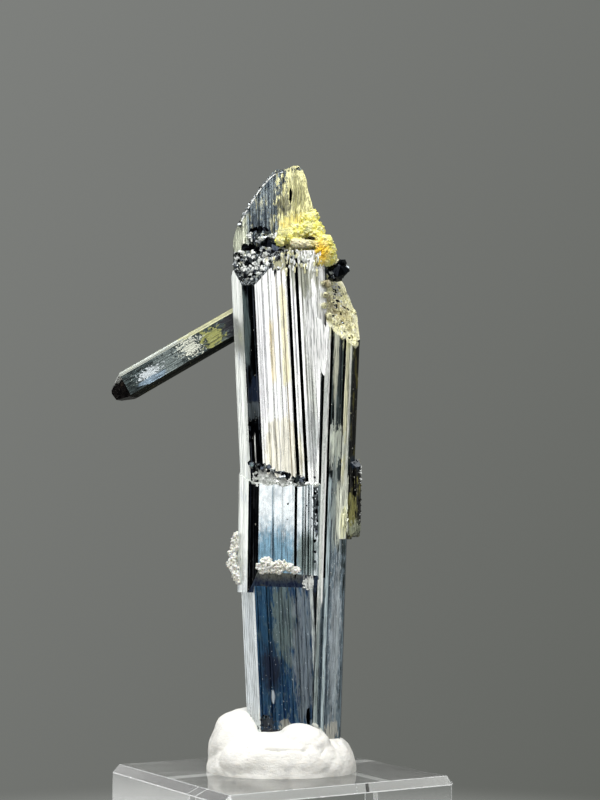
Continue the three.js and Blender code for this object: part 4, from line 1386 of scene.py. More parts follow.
@dataclass(frozen=True)
class Spur:
    """The long side crystal that juts out to the left, from inside the upper stem to its point.

    corners are (down, forward). end_facets are how far before the point each facet crosses the middle line,
    and which way it faces, as (along, down, forward).
    """

    root: Triple = (-3.3, 1.7, 57.9)
    point: Triple = (-21.15, -3.1, 46.6)
    corners: tuple[Pair, ...] = (
        (1.95, 0.1), (1.35, 1.15), (-1.25, 1.3), (-1.9, 0.55),
        (-1.75, -0.7), (-0.7, -1.4), (1.0, -1.35), (1.8, -0.7),
    )
    # Top faces painted lighter as lit from above, under faces near-black as shade.
    skins: tuple[Skin, ...] = (
        Skin.SPUR_UNDER, Skin.SPUR, Skin.SPUR_TOP, Skin.SPUR_TOP,
        Skin.SPUR_TOP, Skin.SPUR, Skin.SPUR_UNDER, Skin.SPUR_UNDER,
    )
    end_facets: tuple[tuple[float, Triple], ...] = (
        (-1.0, (0.46, 0.89, 0.0)),
        (1.0, (0.76, 0.0, 0.65)),
        (0.23, (0.91, -0.41, 0.0)),
        (-0.2, (0.6, -0.8, 0.1)),
        (-0.4, (0.7, 0.1, -0.7)),
    )
    seed: int = 83
    pitch: float = 0.4
    relief: float = 0.02

    def frame(self) -> Matrix:
        """Places the spur.

        Returns:
            The matrix from its own frame (down, forward, along) to the specimen's.
        """
        along = (Vector(self.point) - Vector(self.root)).normalized()
        forward = (Vector((0, -1, 0)) + along * along.y).normalized()
        down = forward.cross(along)
        turn = Matrix((down, forward, along)).transposed().to_4x4()
        return Matrix.Translation(self.root) @ turn

    def build(self) -> Solid:
        """Makes the spur with its end facets.

        Returns:
            The closed solid, in the specimen's frame.
        """
        length = (Vector(self.point) - Vector(self.root)).length
        cuts = tuple(
            Cut((0.0, 0.0, length - back), (down, forward, along), Skin.SPUR_END)
            for back, (along, down, forward) in self.end_facets
        )
        stem = Stem(
            self.corners, self.skins, at=0.0, bottom=0.0, top=length, seed=self.seed,
            cuts=cuts, pitch=self.pitch, relief=self.relief,
        )
        solid = stem.build()
        bmesh.ops.transform(solid, matrix=self.frame(), verts=solid.verts[:])
        return solid


BROKEN_TOP = Cut((-3.05, -4.7, 60.4), (-1.07, -1.79, 1.0))
SHOULDER_CUT = Cut((10.4, 1.0, 56.3), (1.395, -1.237, 1.0), Skin.SHOULDER)

BACK_SKINS = (Skin.STEEL, Skin.SILVER, Skin.STEEL, Skin.PALE, Skin.STEEL)

UPPER_STEM = Stem(
    corners=(
        (-5.35, -1.0), (-4.0, -3.6), (-2.35, -4.7), (5.4, -4.5), (6.6, -3.4),
        (7.0, 0.8), (4.6, 4.4), (0.6, 5.3), (-3.2, 4.2), (-5.2, 1.8),
    ),
    # On this stem and the middle one, face A is painted pale and face C light as lit faces, and face B
    # near-black as painted shade.
    skins=(Skin.PALE, Skin.BLACK, Skin.SILVER, Skin.SILVER, Skin.STEEL, *BACK_SKINS),
    at=46.0, bottom=30.0, top=64.9, lean=(-0.05, 0.0), seed=11, front=2,
    slits=(
        (-1.5, 0.25, 0.15), (-0.7, 0.2, 0.12), (1.75, 0.42, 0.45), (2.35, 0.2, 0.15), (2.8, 0.42, 0.5),
        (3.5, 0.2, 0.1), (4.2, 0.2, 0.08),
    ),
    calm=(-2.4, 0.2),
    cuts=(
        BROKEN_TOP,
        Cut((0.0, 5.3, 58.0), (0.0, 0.7, 0.7)),
        Cut((-5.5, 2.0, 60.5), (-0.6, 0.5, 0.62)),
        Cut((0.0, -4.7, 35.1), (0.1, -0.4, -0.9)),
        # The corner cut is painted black as the shaded side of the upper stem.
        Cut((5.17, -4.5, 46.0), (0.7, -0.71, -0.014), Skin.BLACK),
    ),
)
MIDDLE_STEM = Stem(
    corners=(
        (-5.12, -1.0), (-3.8, -3.8), (-2.45, -4.88), (4.9, -4.65), (6.2, -3.4),
        (6.8, 0.8), (4.5, 4.3), (0.6, 5.2), (-3.3, 4.1), (-5.0, 1.8),
    ),
    skins=(Skin.PALE, Skin.BLACK, Skin.FADING, Skin.STEEL, Skin.STEEL, *BACK_SKINS),
    at=30.0, bottom=22.0, top=38.0, lean=(0.01, 0.0), seed=21, front=2,
    slits=((-0.75, 0.2, 0.12), (1.95, 0.35, 0.35), (2.9, 0.22, 0.15), (3.6, 0.25, 0.2)),
    calm=(-2.6, 1.8),
    cuts=(
        Cut((0.0, -4.8, 35.35), (0.03, -0.32, 0.95), Skin.PALE),
        Cut((0.0, -4.8, 24.5), (0.0, -0.94, -0.34), Skin.UNDERCUT),
    ),
)
LOWER_STEM = Stem(
    corners=(
        (-4.35, -0.9), (-2.6, -4.2), (4.6, -4.1), (5.8, -2.8),
        (6.2, 0.8), (4.1, 4.0), (0.5, 4.9), (-2.9, 3.9), (-4.3, 1.6),
    ),
    skins=(Skin.PALE, Skin.NAVY, Skin.STEEL, Skin.STEEL, *BACK_SKINS),
    at=15.0, bottom=2.0, top=28.0, lean=(-0.05, 0.0), seed=27, front=1,
    slits=((-1.2, 0.18, 0.08), (2.4, 0.2, 0.1)), relief=0.04, pitch=0.6,
)
RIGHT_STEM = Stem(
    corners=(
        (4.2, -3.4), (4.55, -4.5), (5.0, -4.75), (6.0, -4.4),
        (7.95, -2.3), (8.15, 0.6), (6.9, 3.1), (4.4, 3.7),
    ),
    # The first side is painted black as the shaded side, the second near-white as the lit one.
    skins=(Skin.BLACK, Skin.BRIGHT, Skin.RIBBED, Skin.RIBBED, Skin.STEEL, Skin.STEEL, Skin.STEEL, Skin.STEEL),
    at=15.0, bottom=2.0, top=63.0, lean=(0.035, 0.006), seed=31, front=2,
    slits=((5.2, 0.3, 0.35), (5.88, 0.1, 0.1)), dark_from=24.0,
    cuts=(SHOULDER_CUT, Cut((5.4, -4.6, 5.4), (-0.5, -0.6, -0.62), Skin.CHALK)),
)
OUTER_STEM = Stem(
    corners=(
        (6.5, -2.9), (7.1, -3.45), (8.4, -3.3), (9.2, -2.4), (9.95, -0.9), (9.6, 1.6), (8.0, 2.9), (6.2, 2.4),
    ),
    skins=(Skin.OUTER, Skin.OUTER, Skin.OUTER, Skin.EDGE, Skin.EDGE, Skin.STEEL, Skin.STEEL, Skin.STEEL),
    at=46.0, bottom=28.6, top=63.0, lean=(0.045, 0.0), seed=41, front=1,
    slits=((7.3, 0.3, 0.3), (7.9, 0.3, 0.3)), pitch=0.4,
    cuts=(SHOULDER_CUT, Cut((9.3, -0.5, 28.6), (0.5, -0.25, -0.83))),
)
EDGE_CRYSTAL = Stem(
    corners=((8.5, -1.9), (9.7, -2.1), (10.35, -1.0), (10.3, 0.4), (9.5, 1.5), (8.3, 1.2)),
    skins=(Skin.EDGE,) * 6,
    at=34.0, bottom=28.9, top=38.8, lean=(0.01, 0.0), seed=51, front=1,
    slits=((9.9, 0.2, 0.12),), pitch=0.4,
    cuts=(
        Cut((9.4, -1.0, 38.6), (0.55, -0.45, 0.7), Skin.EDGE),
        Cut((10.1, -0.6, 29.4), (0.6, -0.3, -0.75), Skin.EDGE),
    ),
)
TIP_STEM = Stem(
    corners=(
        (-5.9, -0.4), (-4.6, -2.1), (5.3, -2.2), (5.6, 0.6), (4.4, 3.3), (0.2, 3.8), (-4.2, 3.2), (-5.9, 1.6),
    ),
    skins=(Skin.TIP,) * 8,
    at=62.0, bottom=58.0, top=79.0, lean=(-0.02, 0.03), thinning=-0.043, seed=61, front=1,
    slits=((-2.6, 0.25, 0.2), (0.6, 0.3, 0.22), (2.2, 0.3, 0.2)), relief=0.13, pitch=0.42, level=0.7,
)
TIP_OUTLINE = (
    (-6.1, 58.0), (-6.05, 66.9), (-5.6, 68.5), (-4.2, 71.15), (-2.65, 73.7), (-1.0, 75.95), (-0.4, 76.45),
    (0.6, 76.4), (1.9, 76.95), (2.5, 76.95), (3.1, 76.2), (3.55, 74.9), (3.7, 73.5), (4.1, 72.2), (5.1, 68.5),
    (5.6, 58.0),
)


class Seed(Enum):
    """The seed of each scatter of small forms on the crystals."""

    RUBBLE = 17
    KNOB = 29
    SHOULDER = 43
    HOLLOWS = 47
    FRACTURE = 53
    FOOT = 59
    RIM = 71
    CRUSTED_TOP = 73
    FEATHERS = 79
    JAGS = 83

    def source(self) -> random.Random:
        """A fresh source of random numbers from this seed."""
        return random.Random(self.value)


@dataclass(frozen=True)
class StibniteCrystals:
    """Every stibnite crystal, grown together as one piece.

    Outlines and lines in the front's plane are points of X and Z. Cavities, lumps, pits and holes are their
    middle and radius, or half width. fracture is the notch broken out of the front down to fracture_floor,
    and fracture_lip the line of its upper edge. facet is a flake beside the upper stem, painted white as a
    highlight, feather the middle and reach of the pale blades on the outer crystal, and white_ribs are
    (x, half width, low, high).
    """

    fracture: tuple[Pair, ...] = (
        (-5.6, 35.3), (-2.2, 35.4), (-1.4, 35.1), (-0.4, 35.35), (0.5, 35.0), (1.6, 35.25),
        (2.6, 35.0), (3.6, 35.2), (3.0, 35.8), (2.3, 35.5), (1.7, 36.0), (1.0, 35.7), (0.4, 36.5),
        (-0.2, 36.1), (-0.8, 37.1), (-1.3, 36.5), (-1.9, 37.8), (-2.4, 37.1), (-3.1, 38.2), (-3.7, 37.5),
        (-4.3, 38.4), (-5.6, 38.3),
    )
    fracture_floor: float = -4.25
    fracture_lip: tuple[Pair, Pair] = ((-3.6, 37.9), (3.4, 35.5))
    knob_centre: Triple = (7.4, -0.1, 63.2)
    knob_size: Triple = (1.75, 1.5, 1.7)
    knob_blocks: int = 16
    knob_grains: int = 10
    rubble_count: int = 330
    rubble_size: Pair = (0.12, 0.36)
    cavities: tuple[Quad, ...] = (
        (-4.4, -1.9, 65.9, 0.55), (-3.6, -2.2, 65.9, 0.7), (-2.8, -2.5, 65.5, 0.5), (-2.0, -2.2, 66.2, 0.5),
        (-1.3, -2.4, 66.3, 0.7), (-0.6, -2.7, 65.8, 0.65), (-0.1, -3.1, 64.9, 0.6), (-3.1, -1.4, 68.2, 0.4),
        (-2.5, -1.4, 68.3, 0.42), (-1.8, -1.5, 68.3, 0.4), (-3.6, -1.4, 68.1, 0.3), (-0.9, -3.4, 63.4, 0.3),
        (-3.2, -3.2, 63.9, 0.24), (-4.3, -3.3, 61.9, 0.3), (-3.7, -3.6, 61.7, 0.28), (-3.1, -3.8, 61.9, 0.26),
        (0.3, -3.3, 64.6, 0.42),
    )
    shoulder_count: int = 170
    shoulder_pits: int = 34
    lined_up_pits: int = 22
    shoulder_lumps: tuple[Quad, ...] = (
        (5.75, -4.2, 57.9, 0.5), (5.95, -3.9, 59.3, 0.4), (6.2, -3.5, 60.8, 0.45), (6.3, -4.0, 56.6, 0.42),
        (5.7, -3.9, 60.9, 0.3), (7.0, -3.2, 55.6, 0.35), (8.2, -2.6, 55.2, 0.3), (9.0, -1.9, 55.6, 0.28),
    )
    pits: tuple[Quad, ...] = (
        (-3.2, -4.0, 42.2, 0.42), (-2.7, -4.3, 43.4, 0.36), (-3.5, -3.8, 40.9, 0.3), (-2.4, -4.6, 41.8, 0.26),
        (-3.1, -4.1, 43.3, 0.3), (-3.7, -3.7, 42.9, 0.3), (-2.4, -4.6, 42.7, 0.22), (-3.6, -3.8, 41.8, 0.3),
        (-3.5, -4.2, 36.3, 0.6), (1.15, -4.8, 32.9, 0.14), (3.5, -4.75, 32.7, 0.13), (1.1, -4.8, 31.0, 0.09),
    )
    # A line of small hollows down the middle stem's front, as x, z and half width, their walls painted black
    # as shade.
    shaded_groove: tuple[Triple, ...] = (
        (4.5, 36.2, 0.2), (4.62, 35.2, 0.26), (4.55, 34.2, 0.22), (4.85, 33.0, 0.28), (4.7, 32.0, 0.24),
        (4.85, 30.8, 0.26), (4.7, 29.6, 0.2), (4.55, 28.4, 0.22), (4.45, 27.0, 0.2), (4.5, 25.8, 0.24),
        (4.4, 24.0, 0.16),
    )
    foot_hole: Quad = (3.65, -4.0, 7.0, 0.36)
    hole_height: float = 1.4
    tip_slot: Quad = (1.45, -0.9, 72.9, 0.19)
    slot_height: float = 0.95
    rim: tuple[Pair, ...] = (
        (-5.15, 68.8), (-4.95, 69.4), (-4.5, 70.5), (-3.4, 72.4), (-2.4, 74.0), (-1.3, 75.3), (-0.3, 76.1),
        (0.8, 76.1), (1.8, 76.5), (2.6, 76.5),
    )
    bright_rim: int = 7
    rim_count: int = 10
    rim_lean: float = 0.122
    rim_datum: float = 70.0
    jag_count: int = 36
    top_count: int = 80
    splinter_count: int = 46
    dust_count: int = 95
    foot_count: int = 60
    ledge_count: int = 14
    facet: tuple[Pair, ...] = (
        (4.67, 56.4), (4.85, 52.2), (5.35, 49.4), (5.7, 48.9), (6.05, 51.0), (6.15, 54.6), (5.4, 56.0),
    )
    feather: Quad = (8.0, -2.7, 32.4, 3.2)
    blade_count: int = 26
    white_ribs: tuple[Quad, ...] = (
        (3.92, 0.2, 22.4, 24.7), (3.4, 0.12, 22.6, 24.1), (4.25, 0.1, 22.9, 24.9),
    )

    def tip(self) -> Solid:
        """The pointed end: a stem that thins upwards, kept inside its front outline."""
        profile = upright_plate(TIP_OUTLINE, -FAR / 2, FAR / 2, Skin.RIM)
        return combined(TIP_STEM.build(), [profile], Combine.KEEP_COMMON)

    def rim_bits(self) -> list[Solid]:
        """Small bright bits along the tip's upper edge, and a white ribbon along it as a painted highlight.

        Returns:
            The closed bits.
        """
        rng = Seed.RIM.source()
        edge = self.rim[1 : self.bright_rim]
        inner = tuple((x + 0.13, z - 0.09) for x, z in reversed(edge))
        # A thin white ribbon along the edge: a painted highlight on the rim.
        ribbon = upright_plate((*edge, *inner), -1.22, -0.9, Skin.CHALK)
        for vertex in ribbon.verts:
            vertex.co.y += self.rim_lean * (vertex.co.z - self.rim_datum)
        bits = [ribbon]
        for (x, z), (next_x, next_z) in zip(self.rim, self.rim[1:]):
            for _ in range(self.rim_count):
                share = rng.random()
                height = z + share * (next_z - z)
                front = -1.15 + self.rim_lean * (height - self.rim_datum)
                back = 1.3 + 0.045 * (z - 62.0)
                y = front + rng.uniform(0.0, 0.3) if rng.random() < 0.6 else rng.uniform(front, back)
                half = rng.uniform(0.1, 0.2)
                skin = (Skin.RIM, Skin.GLINT)
                spot = (x + share * (next_x - x), y, height)
                bits.append(shard(spot, (half, half * 1.4, half * 1.2), rng, rng.choice(skin)))
        return bits

    def rubble(self) -> list[Solid]:
        """Broken bits on the upper stem's slanting top, heaped up against the tip, clear of the cavities.

        Returns:
            The closed bits.
        """
        rng = Seed.RUBBLE.source()
        skins = (Skin.GLINT, Skin.CHALK, Skin.CHALK, Skin.CHALK, Skin.RIM, Skin.BRIGHT, Skin.BLACK)
        # Black grains set back in the cavities: painted shade.
        bits = [grain((x, y + 0.25, z), 0.95 * size, rng, Skin.BLACK) for x, y, z, size in self.cavities]
        while len(bits) < self.rubble_count:
            x = rng.uniform(-5.7, 0.9) if rng.random() < 0.7 else rng.uniform(-1.9, 0.6)
            nearest = max(-4.3, -1.3 - 1.2 * (x + 5.7))
            back = rng.random()
            y = nearest + back * (-1.9 - nearest)
            floor = min(BROKEN_TOP.height(x, nearest), UPPER_STEM.top - 1.2)
            z = floor + back ** 1.4 * (67.6 - floor)
            half = rng.uniform(*self.rubble_size) * (1.0 if x < 0 else 0.7)
            size = (half, half * rng.uniform(0.7, 1.0), half * rng.uniform(0.8, 1.2))
            gaps = [math.hypot(x - place, z - height) - radius for place, _, height, radius in self.cavities]
            if min(gaps) > 0 and (x > -4.2 or z < 65.4):
                bits.append(shard((x, y, z), size, rng, rng.choice(skins), rng.choice((4, 5, 6))))
        return bits

    def crusted_top(self) -> list[Solid]:
        """Short ribs and grains that crust the upper stem's front below its broken top.

        Returns:
            The closed bits.
        """
        rng = Seed.CRUSTED_TOP.source()
        bits = []
        for _ in range(self.top_count):
            x = rng.uniform(-0.9, 5.4)
            z = rng.uniform(62.4, 65.2) - 0.2 * abs(x - 2.5)
            half = rng.uniform(0.08, 0.2)
            chalky = (Skin.CHALK, Skin.BRIGHT) if x > 2.9 else (Skin.SHOULDER, Skin.GLINT)
            skin = rng.choice((Skin.SHOULDER, Skin.CHALK, *chalky))
            bit = shard(ORIGIN, (half, half, half), rng, skin)
            bits.append(placed(bit, (0.8, 0.8, rng.uniform(1.0, 3.0)), centre=(x, -4.66, z)))
        return bits

    def knob(self) -> list[Solid]:
        """The dark, many-faced knob on the right: one body with blocky bits grown on it and a pale rim.

        Returns:
            The closed bits.
        """
        rng = Seed.KNOB.source()
        core = placed(ball(1.0, 1), turn=Euler((0.7, 0.4, 1.1)).to_matrix())
        bits = [placed(core, [0.86 * radius for radius in self.knob_size], centre=self.knob_centre)]
        paint(core.faces[:], Skin.BLACK)
        for number in range(self.knob_blocks + self.knob_grains):
            blocky = number < self.knob_blocks
            way = Vector([rng.gauss(0, 1) for _ in range(3)]).normalized()
            reach = 0.68 if blocky else 0.86
            spot = Vector(self.knob_centre) + Vector([reach * a * b for a, b in zip(way, self.knob_size)])
            half = rng.uniform(0.3, 0.55) if blocky else rng.uniform(0.14, 0.26)
            skin = rng.choice((Skin.BLACK, Skin.GLINT)) if blocky else Skin.SHOULDER
            bits.append(shard(spot, (half, half, half * 1.1), rng, skin, 4))
        return bits

    def shoulder(self) -> list[Solid]:
        """Crusty grains and short ribs over the sloping shoulder.

        Returns:
            The closed grains.
        """
        rng = Seed.SHOULDER.source()
        grains = [grain((x, y, z), size, rng, Skin.SHOULDER, 2) for x, y, z, size in self.shoulder_lumps]
        while len(grains) < self.shoulder_count:
            x, y = rng.uniform(5.4, 9.8), rng.uniform(-3.6, 2.2)
            z = SHOULDER_CUT.height(x, y)
            if z < min(63.5, 56.0 + (10.6 - x) * 3) and y > -4.4 + 0.55 * abs(x - 6.5):
                radius = rng.uniform(0.1, 0.28) if rng.random() < 0.8 else rng.uniform(0.36, 0.56)
                middle = abs(x - 7.5) < 0.6 and radius < 0.3
                skin = rng.choice((Skin.CHALK, Skin.GLINT)) if middle else Skin.SHOULDER
                grains.append(grain((x, y, z - 0.35 * radius), radius, rng, skin))
        return grains

    def edge_jags(self) -> list[Solid]:
        """Tiny jagged bits up the outer rim of the small crystal on the right edge.

        Returns:
            The closed bits.
        """
        rng = Seed.JAGS.source()
        jags = []
        for _ in range(self.jag_count):
            half = rng.uniform(0.07, 0.15)
            height = rng.uniform(31.6, 38.6)
            x = 10.28 + 0.01 * (height - 34.0) - max(0.0, 0.75 * (height - 37.9))
            skin = rng.choice((Skin.EDGE, Skin.EDGE, Skin.CHALK))
            jags.append(shard((x, rng.uniform(-1.2, -0.6), height), (half, half, half * 1.3), rng, skin, 4))
        return jags

    def feathers(self) -> list[Solid]:
        """Thin slanting blades of pale coating low on the outer crystal.

        Returns:
            The closed blades.
        """
        rng = Seed.FEATHERS.source()
        x, y, z, reach = self.feather
        blades = []
        for _ in range(self.blade_count):
            height = z + rng.uniform(-reach, reach)
            half = rng.uniform(0.06, 0.13)
            blade = shard(ORIGIN, (half, half, half), rng, Skin.OUTER, 4)
            stretch = (1.0, 0.8, rng.uniform(4.0, 8.0))
            lean = Matrix.Rotation(rng.uniform(-0.25, 0.35), 3, "Y")
            place = x + rng.uniform(-0.7, 0.7)
            front = y - 0.32 + 0.9 * max(0.0, place - 8.1)
            blades.append(placed(blade, stretch, lean, (place, front, height)))
        return blades

    def hollows(self) -> list[Solid]:
        """The fracture, pits, cavities, the foot's hole and the slot in the tip, their cut walls painted
        black as shade, the fracture's back wall pale.

        Returns:
            The closed cutting bodies.
        """
        rng = Seed.HOLLOWS.source()
        wedge = upright_plate(self.fracture, -FAR / 2, self.fracture_floor, Skin.CHALK)
        # The notch's upper faces are painted black as the shadow under its lip.
        for face in wedge.faces:
            if face.calc_center_median().z > 35.45 and abs(face.normal.y) < 0.5:
                face.material_index = Skin.BLACK.value
        found = [wedge]
        groove_pits = tuple((x, -4.72, z, half) for x, z, half in self.shaded_groove)
        for x, y, z, size in (*self.pits, *groove_pits):
            found.append(shard((x, y, z), (size, size, size * 1.2), rng, Skin.BLACK))
        for x, y, z, size in self.cavities:
            found.append(shard((x, y, z), (size, size, size), rng, Skin.BLACK, 6))
        for number in range(self.shoulder_pits):
            x = rng.gauss(7.5, 0.35) if number < self.lined_up_pits else rng.uniform(6.0, 9.8)
            y = rng.uniform(-2.8, 1.2)
            size = rng.uniform(0.1, 0.26)
            found.append(shard((x, y, SHOULDER_CUT.height(x, y)), (size, size, size), rng, Skin.BLACK))
        openings = ((self.tip_slot, self.slot_height), (self.foot_hole, self.hole_height))
        for (x, y, z, half), height in openings:
            slot = grain(ORIGIN, 1.0, rng, Skin.BLACK)
            found.append(placed(slot, (half, 1.0, height), centre=(x, y, z)))
        return found

    def fracture_bits(self) -> list[Solid]:
        """Splinters along the fracture's upper lip, most painted black as its shadow, and pale grains below
        it.

        Returns:
            The closed bits.
        """
        rng = Seed.FRACTURE.source()
        (left, left_height), (right, right_height) = self.fracture_lip
        bits = []
        for _ in range(self.splinter_count):
            share = rng.random()
            x = left + share * (right - left)
            z = left_height + share * (right_height - left_height) + rng.uniform(-0.25, 0.35)
            half = rng.uniform(0.14, 0.34)
            skin = rng.choice((Skin.BLACK, Skin.BLACK, Skin.BLACK, Skin.GLINT))
            bits.append(shard((x, rng.uniform(-4.8, -4.5), z), (half, half, half * 1.4), rng, skin))
        for _ in range(self.dust_count):
            x = rng.uniform(-3.4, 5.1)
            top = 35.6 + max(0.0, 0.3 * (1.6 - x))
            half = rng.uniform(0.08, 0.2)
            spot = (x, rng.uniform(-4.75, -4.25), rng.uniform(35.2, top))
            bits.append(shard(spot, (half, half, half), rng, rng.choice((Skin.CHALK, Skin.CHALK, Skin.PALE))))
        return bits

    def foot_bits(self) -> list[Solid]:
        """Frayed and granular bits at the crystals' foot, and white bits below the ledge.

        Returns:
            The closed bits.
        """
        rng = Seed.FOOT.source()
        bits = []
        for _ in range(self.foot_count):
            half = rng.uniform(0.05, 0.14)
            x = rng.uniform(-3.4, -0.7)
            depth = -4.15 + max(0.0, -1.9 * (x + 2.15)) + rng.uniform(-0.02, 0.1)
            skin = rng.choice((Skin.BLACK, Skin.BLACK, Skin.GLINT))
            bits.append(shard((x, depth, rng.uniform(5.4, 7.2)), (half, half, half), rng, skin))
        for _ in range(self.ledge_count):
            half = rng.uniform(0.07, 0.13)
            spot = (rng.uniform(3.0, 3.6), -4.5 + rng.uniform(-0.05, 0.2), rng.uniform(22.4, 24.4))
            bits.append(shard(spot, (half, half, half * 1.4), rng, Skin.CHALK))
        for x, half, low, high in self.white_ribs:
            section = ((-half, 0), (0, -half), (half, 0), (0, half))
            rib = extruded([Vector((x + across, -4.45 + deep)) for across, deep in section], low, high)
            paint(rib.faces[:], Skin.CHALK)
            bits.append(rib)
        return bits

    def build(self) -> bpy.types.Object:
        """Makes and dresses the crystals.

        Returns:
            The finished piece.
        """
        stems = [stem.build() for stem in (UPPER_STEM, MIDDLE_STEM, LOWER_STEM, RIGHT_STEM, OUTER_STEM)]
        stems.append(EDGE_CRYSTAL.build())
        facet = upright_plate(self.facet, -4.62, -4.1, Skin.SILVER)
        stems += [self.tip(), Spur().build(), *self.knob(), facet]
        small = [*self.rubble(), *self.rim_bits(), *self.shoulder(), *self.crusted_top(), *self.feathers()]
        small += self.edge_jags()
        group = grown_together([*stems, *small])
        group = combined(group, self.hollows(), Combine.CUT)
        group = grown_together([group, *self.fracture_bits(), *self.foot_bits()])
        frame = specimen_frame()
        spur_frame = frame @ Spur().frame()
        spur_skins = (Skin.SPUR, Skin.SPUR_TOP, Skin.SPUR_UNDER, Skin.SPUR_END)
        frames = [spur_frame if skin in spur_skins else frame for skin in Skin]
        materials = tuple(STIBNITE_FINISHES_AND_PAINTED_LIGHT[skin].build(own) for skin, own in zip(Skin, frames))
        return finished_piece("crystal_group", group, materials, crease=9.0, frame=frame)


# ------------ crusts, putty and block


@dataclass(frozen=True)
class Crust:
    """A granular crust: main lumps (x, y, z, radius), each with small grains all over it.

    core is the size of a lump's solid middle and spread how far out its grains lie, as shares of its radius.
    voxel and crumb are the size of the skin's faces and its roughness, and crevices are (middle, half sizes).
    """

    name: str
    lumps: tuple[Quad, ...]
    finish: CrustFinish
    seed: int
    grains: int
    grain_size: Pair
    voxel: float
    crumb: float = 0.09
    core: float = 0.84
    spread: Pair = (0.74, 0.9)
    crevices: tuple[tuple[Triple, Triple], ...] = ()

    def build(self) -> bpy.types.Object:
        """Makes and dresses the crust.

        Returns:
            The finished piece.
        """
        rng = random.Random(self.seed)
        heap = []
        for x, y, z, radius in self.lumps:
            heap.append(grain((x, y, z), self.core * radius, rng, Skin.SILVER, 3))
            for _ in range(self.grains):
                way = Vector([rng.gauss(0, 1) for _ in range(3)]).normalized()
                spot = Vector((x, y, z)) + way * radius * rng.uniform(*self.spread)
                heap.append(grain(spot, rng.uniform(*self.grain_size), rng, Skin.SILVER, 2))
        solid = melted(heap, self.voxel, 1)
        for vertex in solid.verts:
            vertex.co += vertex.normal * self.crumb * noise.noise(vertex.co * 5.5)
        if self.crevices:
            turn = Matrix.Rotation(0.25, 3, "Y")
            bodies = [placed(ball(1.0, 3), size, turn, place) for place, size in self.crevices]
            solid = combined(solid, bodies, Combine.CUT)
        paint(solid.faces[:], Skin.SILVER)
        frame = specimen_frame()
        return finished_piece(self.name, solid, (self.finish.build(frame),), crease=60.0, frame=frame)


YELLOW = Crust(
    "yellow_grains",
    (
        (3.9, -2.5, 69.2, 1.25), (4.35, -2.2, 69.9, 0.85), (3.6, -2.8, 67.9, 1.4), (4.7, -2.5, 68.0, 1.25),
        (1.1, -3.0, 67.1, 1.1), (2.3, -2.9, 67.6, 1.15), (0.3, -3.1, 66.9, 0.85), (4.6, -3.0, 67.1, 1.05),
        (0.2, -3.7, 66.2, 0.65), (2.1, -4.0, 65.9, 0.7), (3.1, -4.1, 65.9, 0.7), (3.9, -4.1, 65.9, 0.6),
        (5.7, -3.1, 66.1, 1.25), (6.05, -2.9, 65.3, 1.3), (5.7, -3.7, 64.6, 1.1), (6.2, -2.8, 64.3, 1.1),
        (5.35, -3.9, 65.6, 0.85), (5.2, -4.1, 63.7, 0.6), (6.2, -3.7, 65.9, 0.85), (5.3, -4.0, 64.7, 0.85),
        (6.15, -3.8, 64.8, 0.85), (5.5, -3.8, 66.3, 0.7), (6.55, -3.4, 65.1, 0.75), (5.9, -3.8, 63.9, 0.6),
    ),
    YELLOW_CRUST, seed=97, grains=60, grain_size=(0.07, 0.24), voxel=0.075, crumb=0.15,
    crevices=(((3.7, -4.3, 66.5), (0.95, 1.3, 0.18)), ((0.8, -4.0, 66.2), (0.12, 1.0, 0.7))),
)
WHITE_EDGE = Crust(
    "white_edge_grains",
    (
        (-5.35, -0.9, 29.1, 0.4), (-5.5, -0.7, 28.4, 0.5), (-5.45, -0.6, 27.6, 0.6), (-5.7, -0.6, 26.7, 0.75),
        (-5.75, -0.7, 25.7, 0.8), (-5.45, -1.0, 24.9, 0.65), (-5.3, -1.2, 24.0, 0.6),
        (-4.95, -1.4, 23.4, 0.45),
        (-5.3, 0.1, 26.9, 0.75), (-5.4, 0.1, 25.8, 0.85), (-5.25, 0.1, 24.7, 0.75), (-5.4, -0.2, 27.9, 0.55),
    ),
    WHITE_CRUST, seed=101, grains=50, grain_size=(0.09, 0.24), voxel=0.065, crumb=0.07, core=0.5,
    spread=(0.45, 1.05),
)
WHITE_LEDGE = Crust(
    "white_ledge_grains",
    (
        (-2.3, -4.9, 25.2, 0.5), (-1.8, -5.0, 25.5, 0.6), (-1.2, -5.05, 25.7, 0.62),
        (-0.7, -5.05, 25.3, 0.62),
        (-0.1, -5.05, 25.4, 0.6), (0.4, -5.05, 25.5, 0.58), (0.9, -5.05, 25.1, 0.55), (1.4, -5.0, 25.1, 0.52),
        (1.9, -4.95, 24.8, 0.48), (2.3, -4.9, 24.7, 0.4), (-2.1, -4.95, 24.8, 0.4), (-1.5, -5.0, 24.9, 0.45),
        (-0.9, -5.0, 24.8, 0.42), (-0.3, -5.0, 24.8, 0.4), (-1.5, -4.95, 26.0, 0.35), (0.2, -5.0, 24.7, 0.35),
    ),
    WHITE_CRUST, seed=103, grains=40, grain_size=(0.08, 0.2), voxel=0.06, crumb=0.07, core=0.5,
    spread=(0.45, 1.1),
)


@dataclass(frozen=True)
class Crease:
    """A soft fold in the putty along a line of points."""

    points: tuple[Triple, ...]
    width: float
    depth: float

    def sink(self, spot: Vector) -> float:
        """How deep the fold is at a spot.

        Args:
            spot: The spot on the putty's skin.

        Returns:
            The depth in millimetres.
        """
        line = [Vector(point) for point in self.points]
        gap = min((spot - nearest_point(spot, start, end)).length for start, end in zip(line, line[1:]))
        return self.depth * math.exp(-((gap / self.width) ** 2))


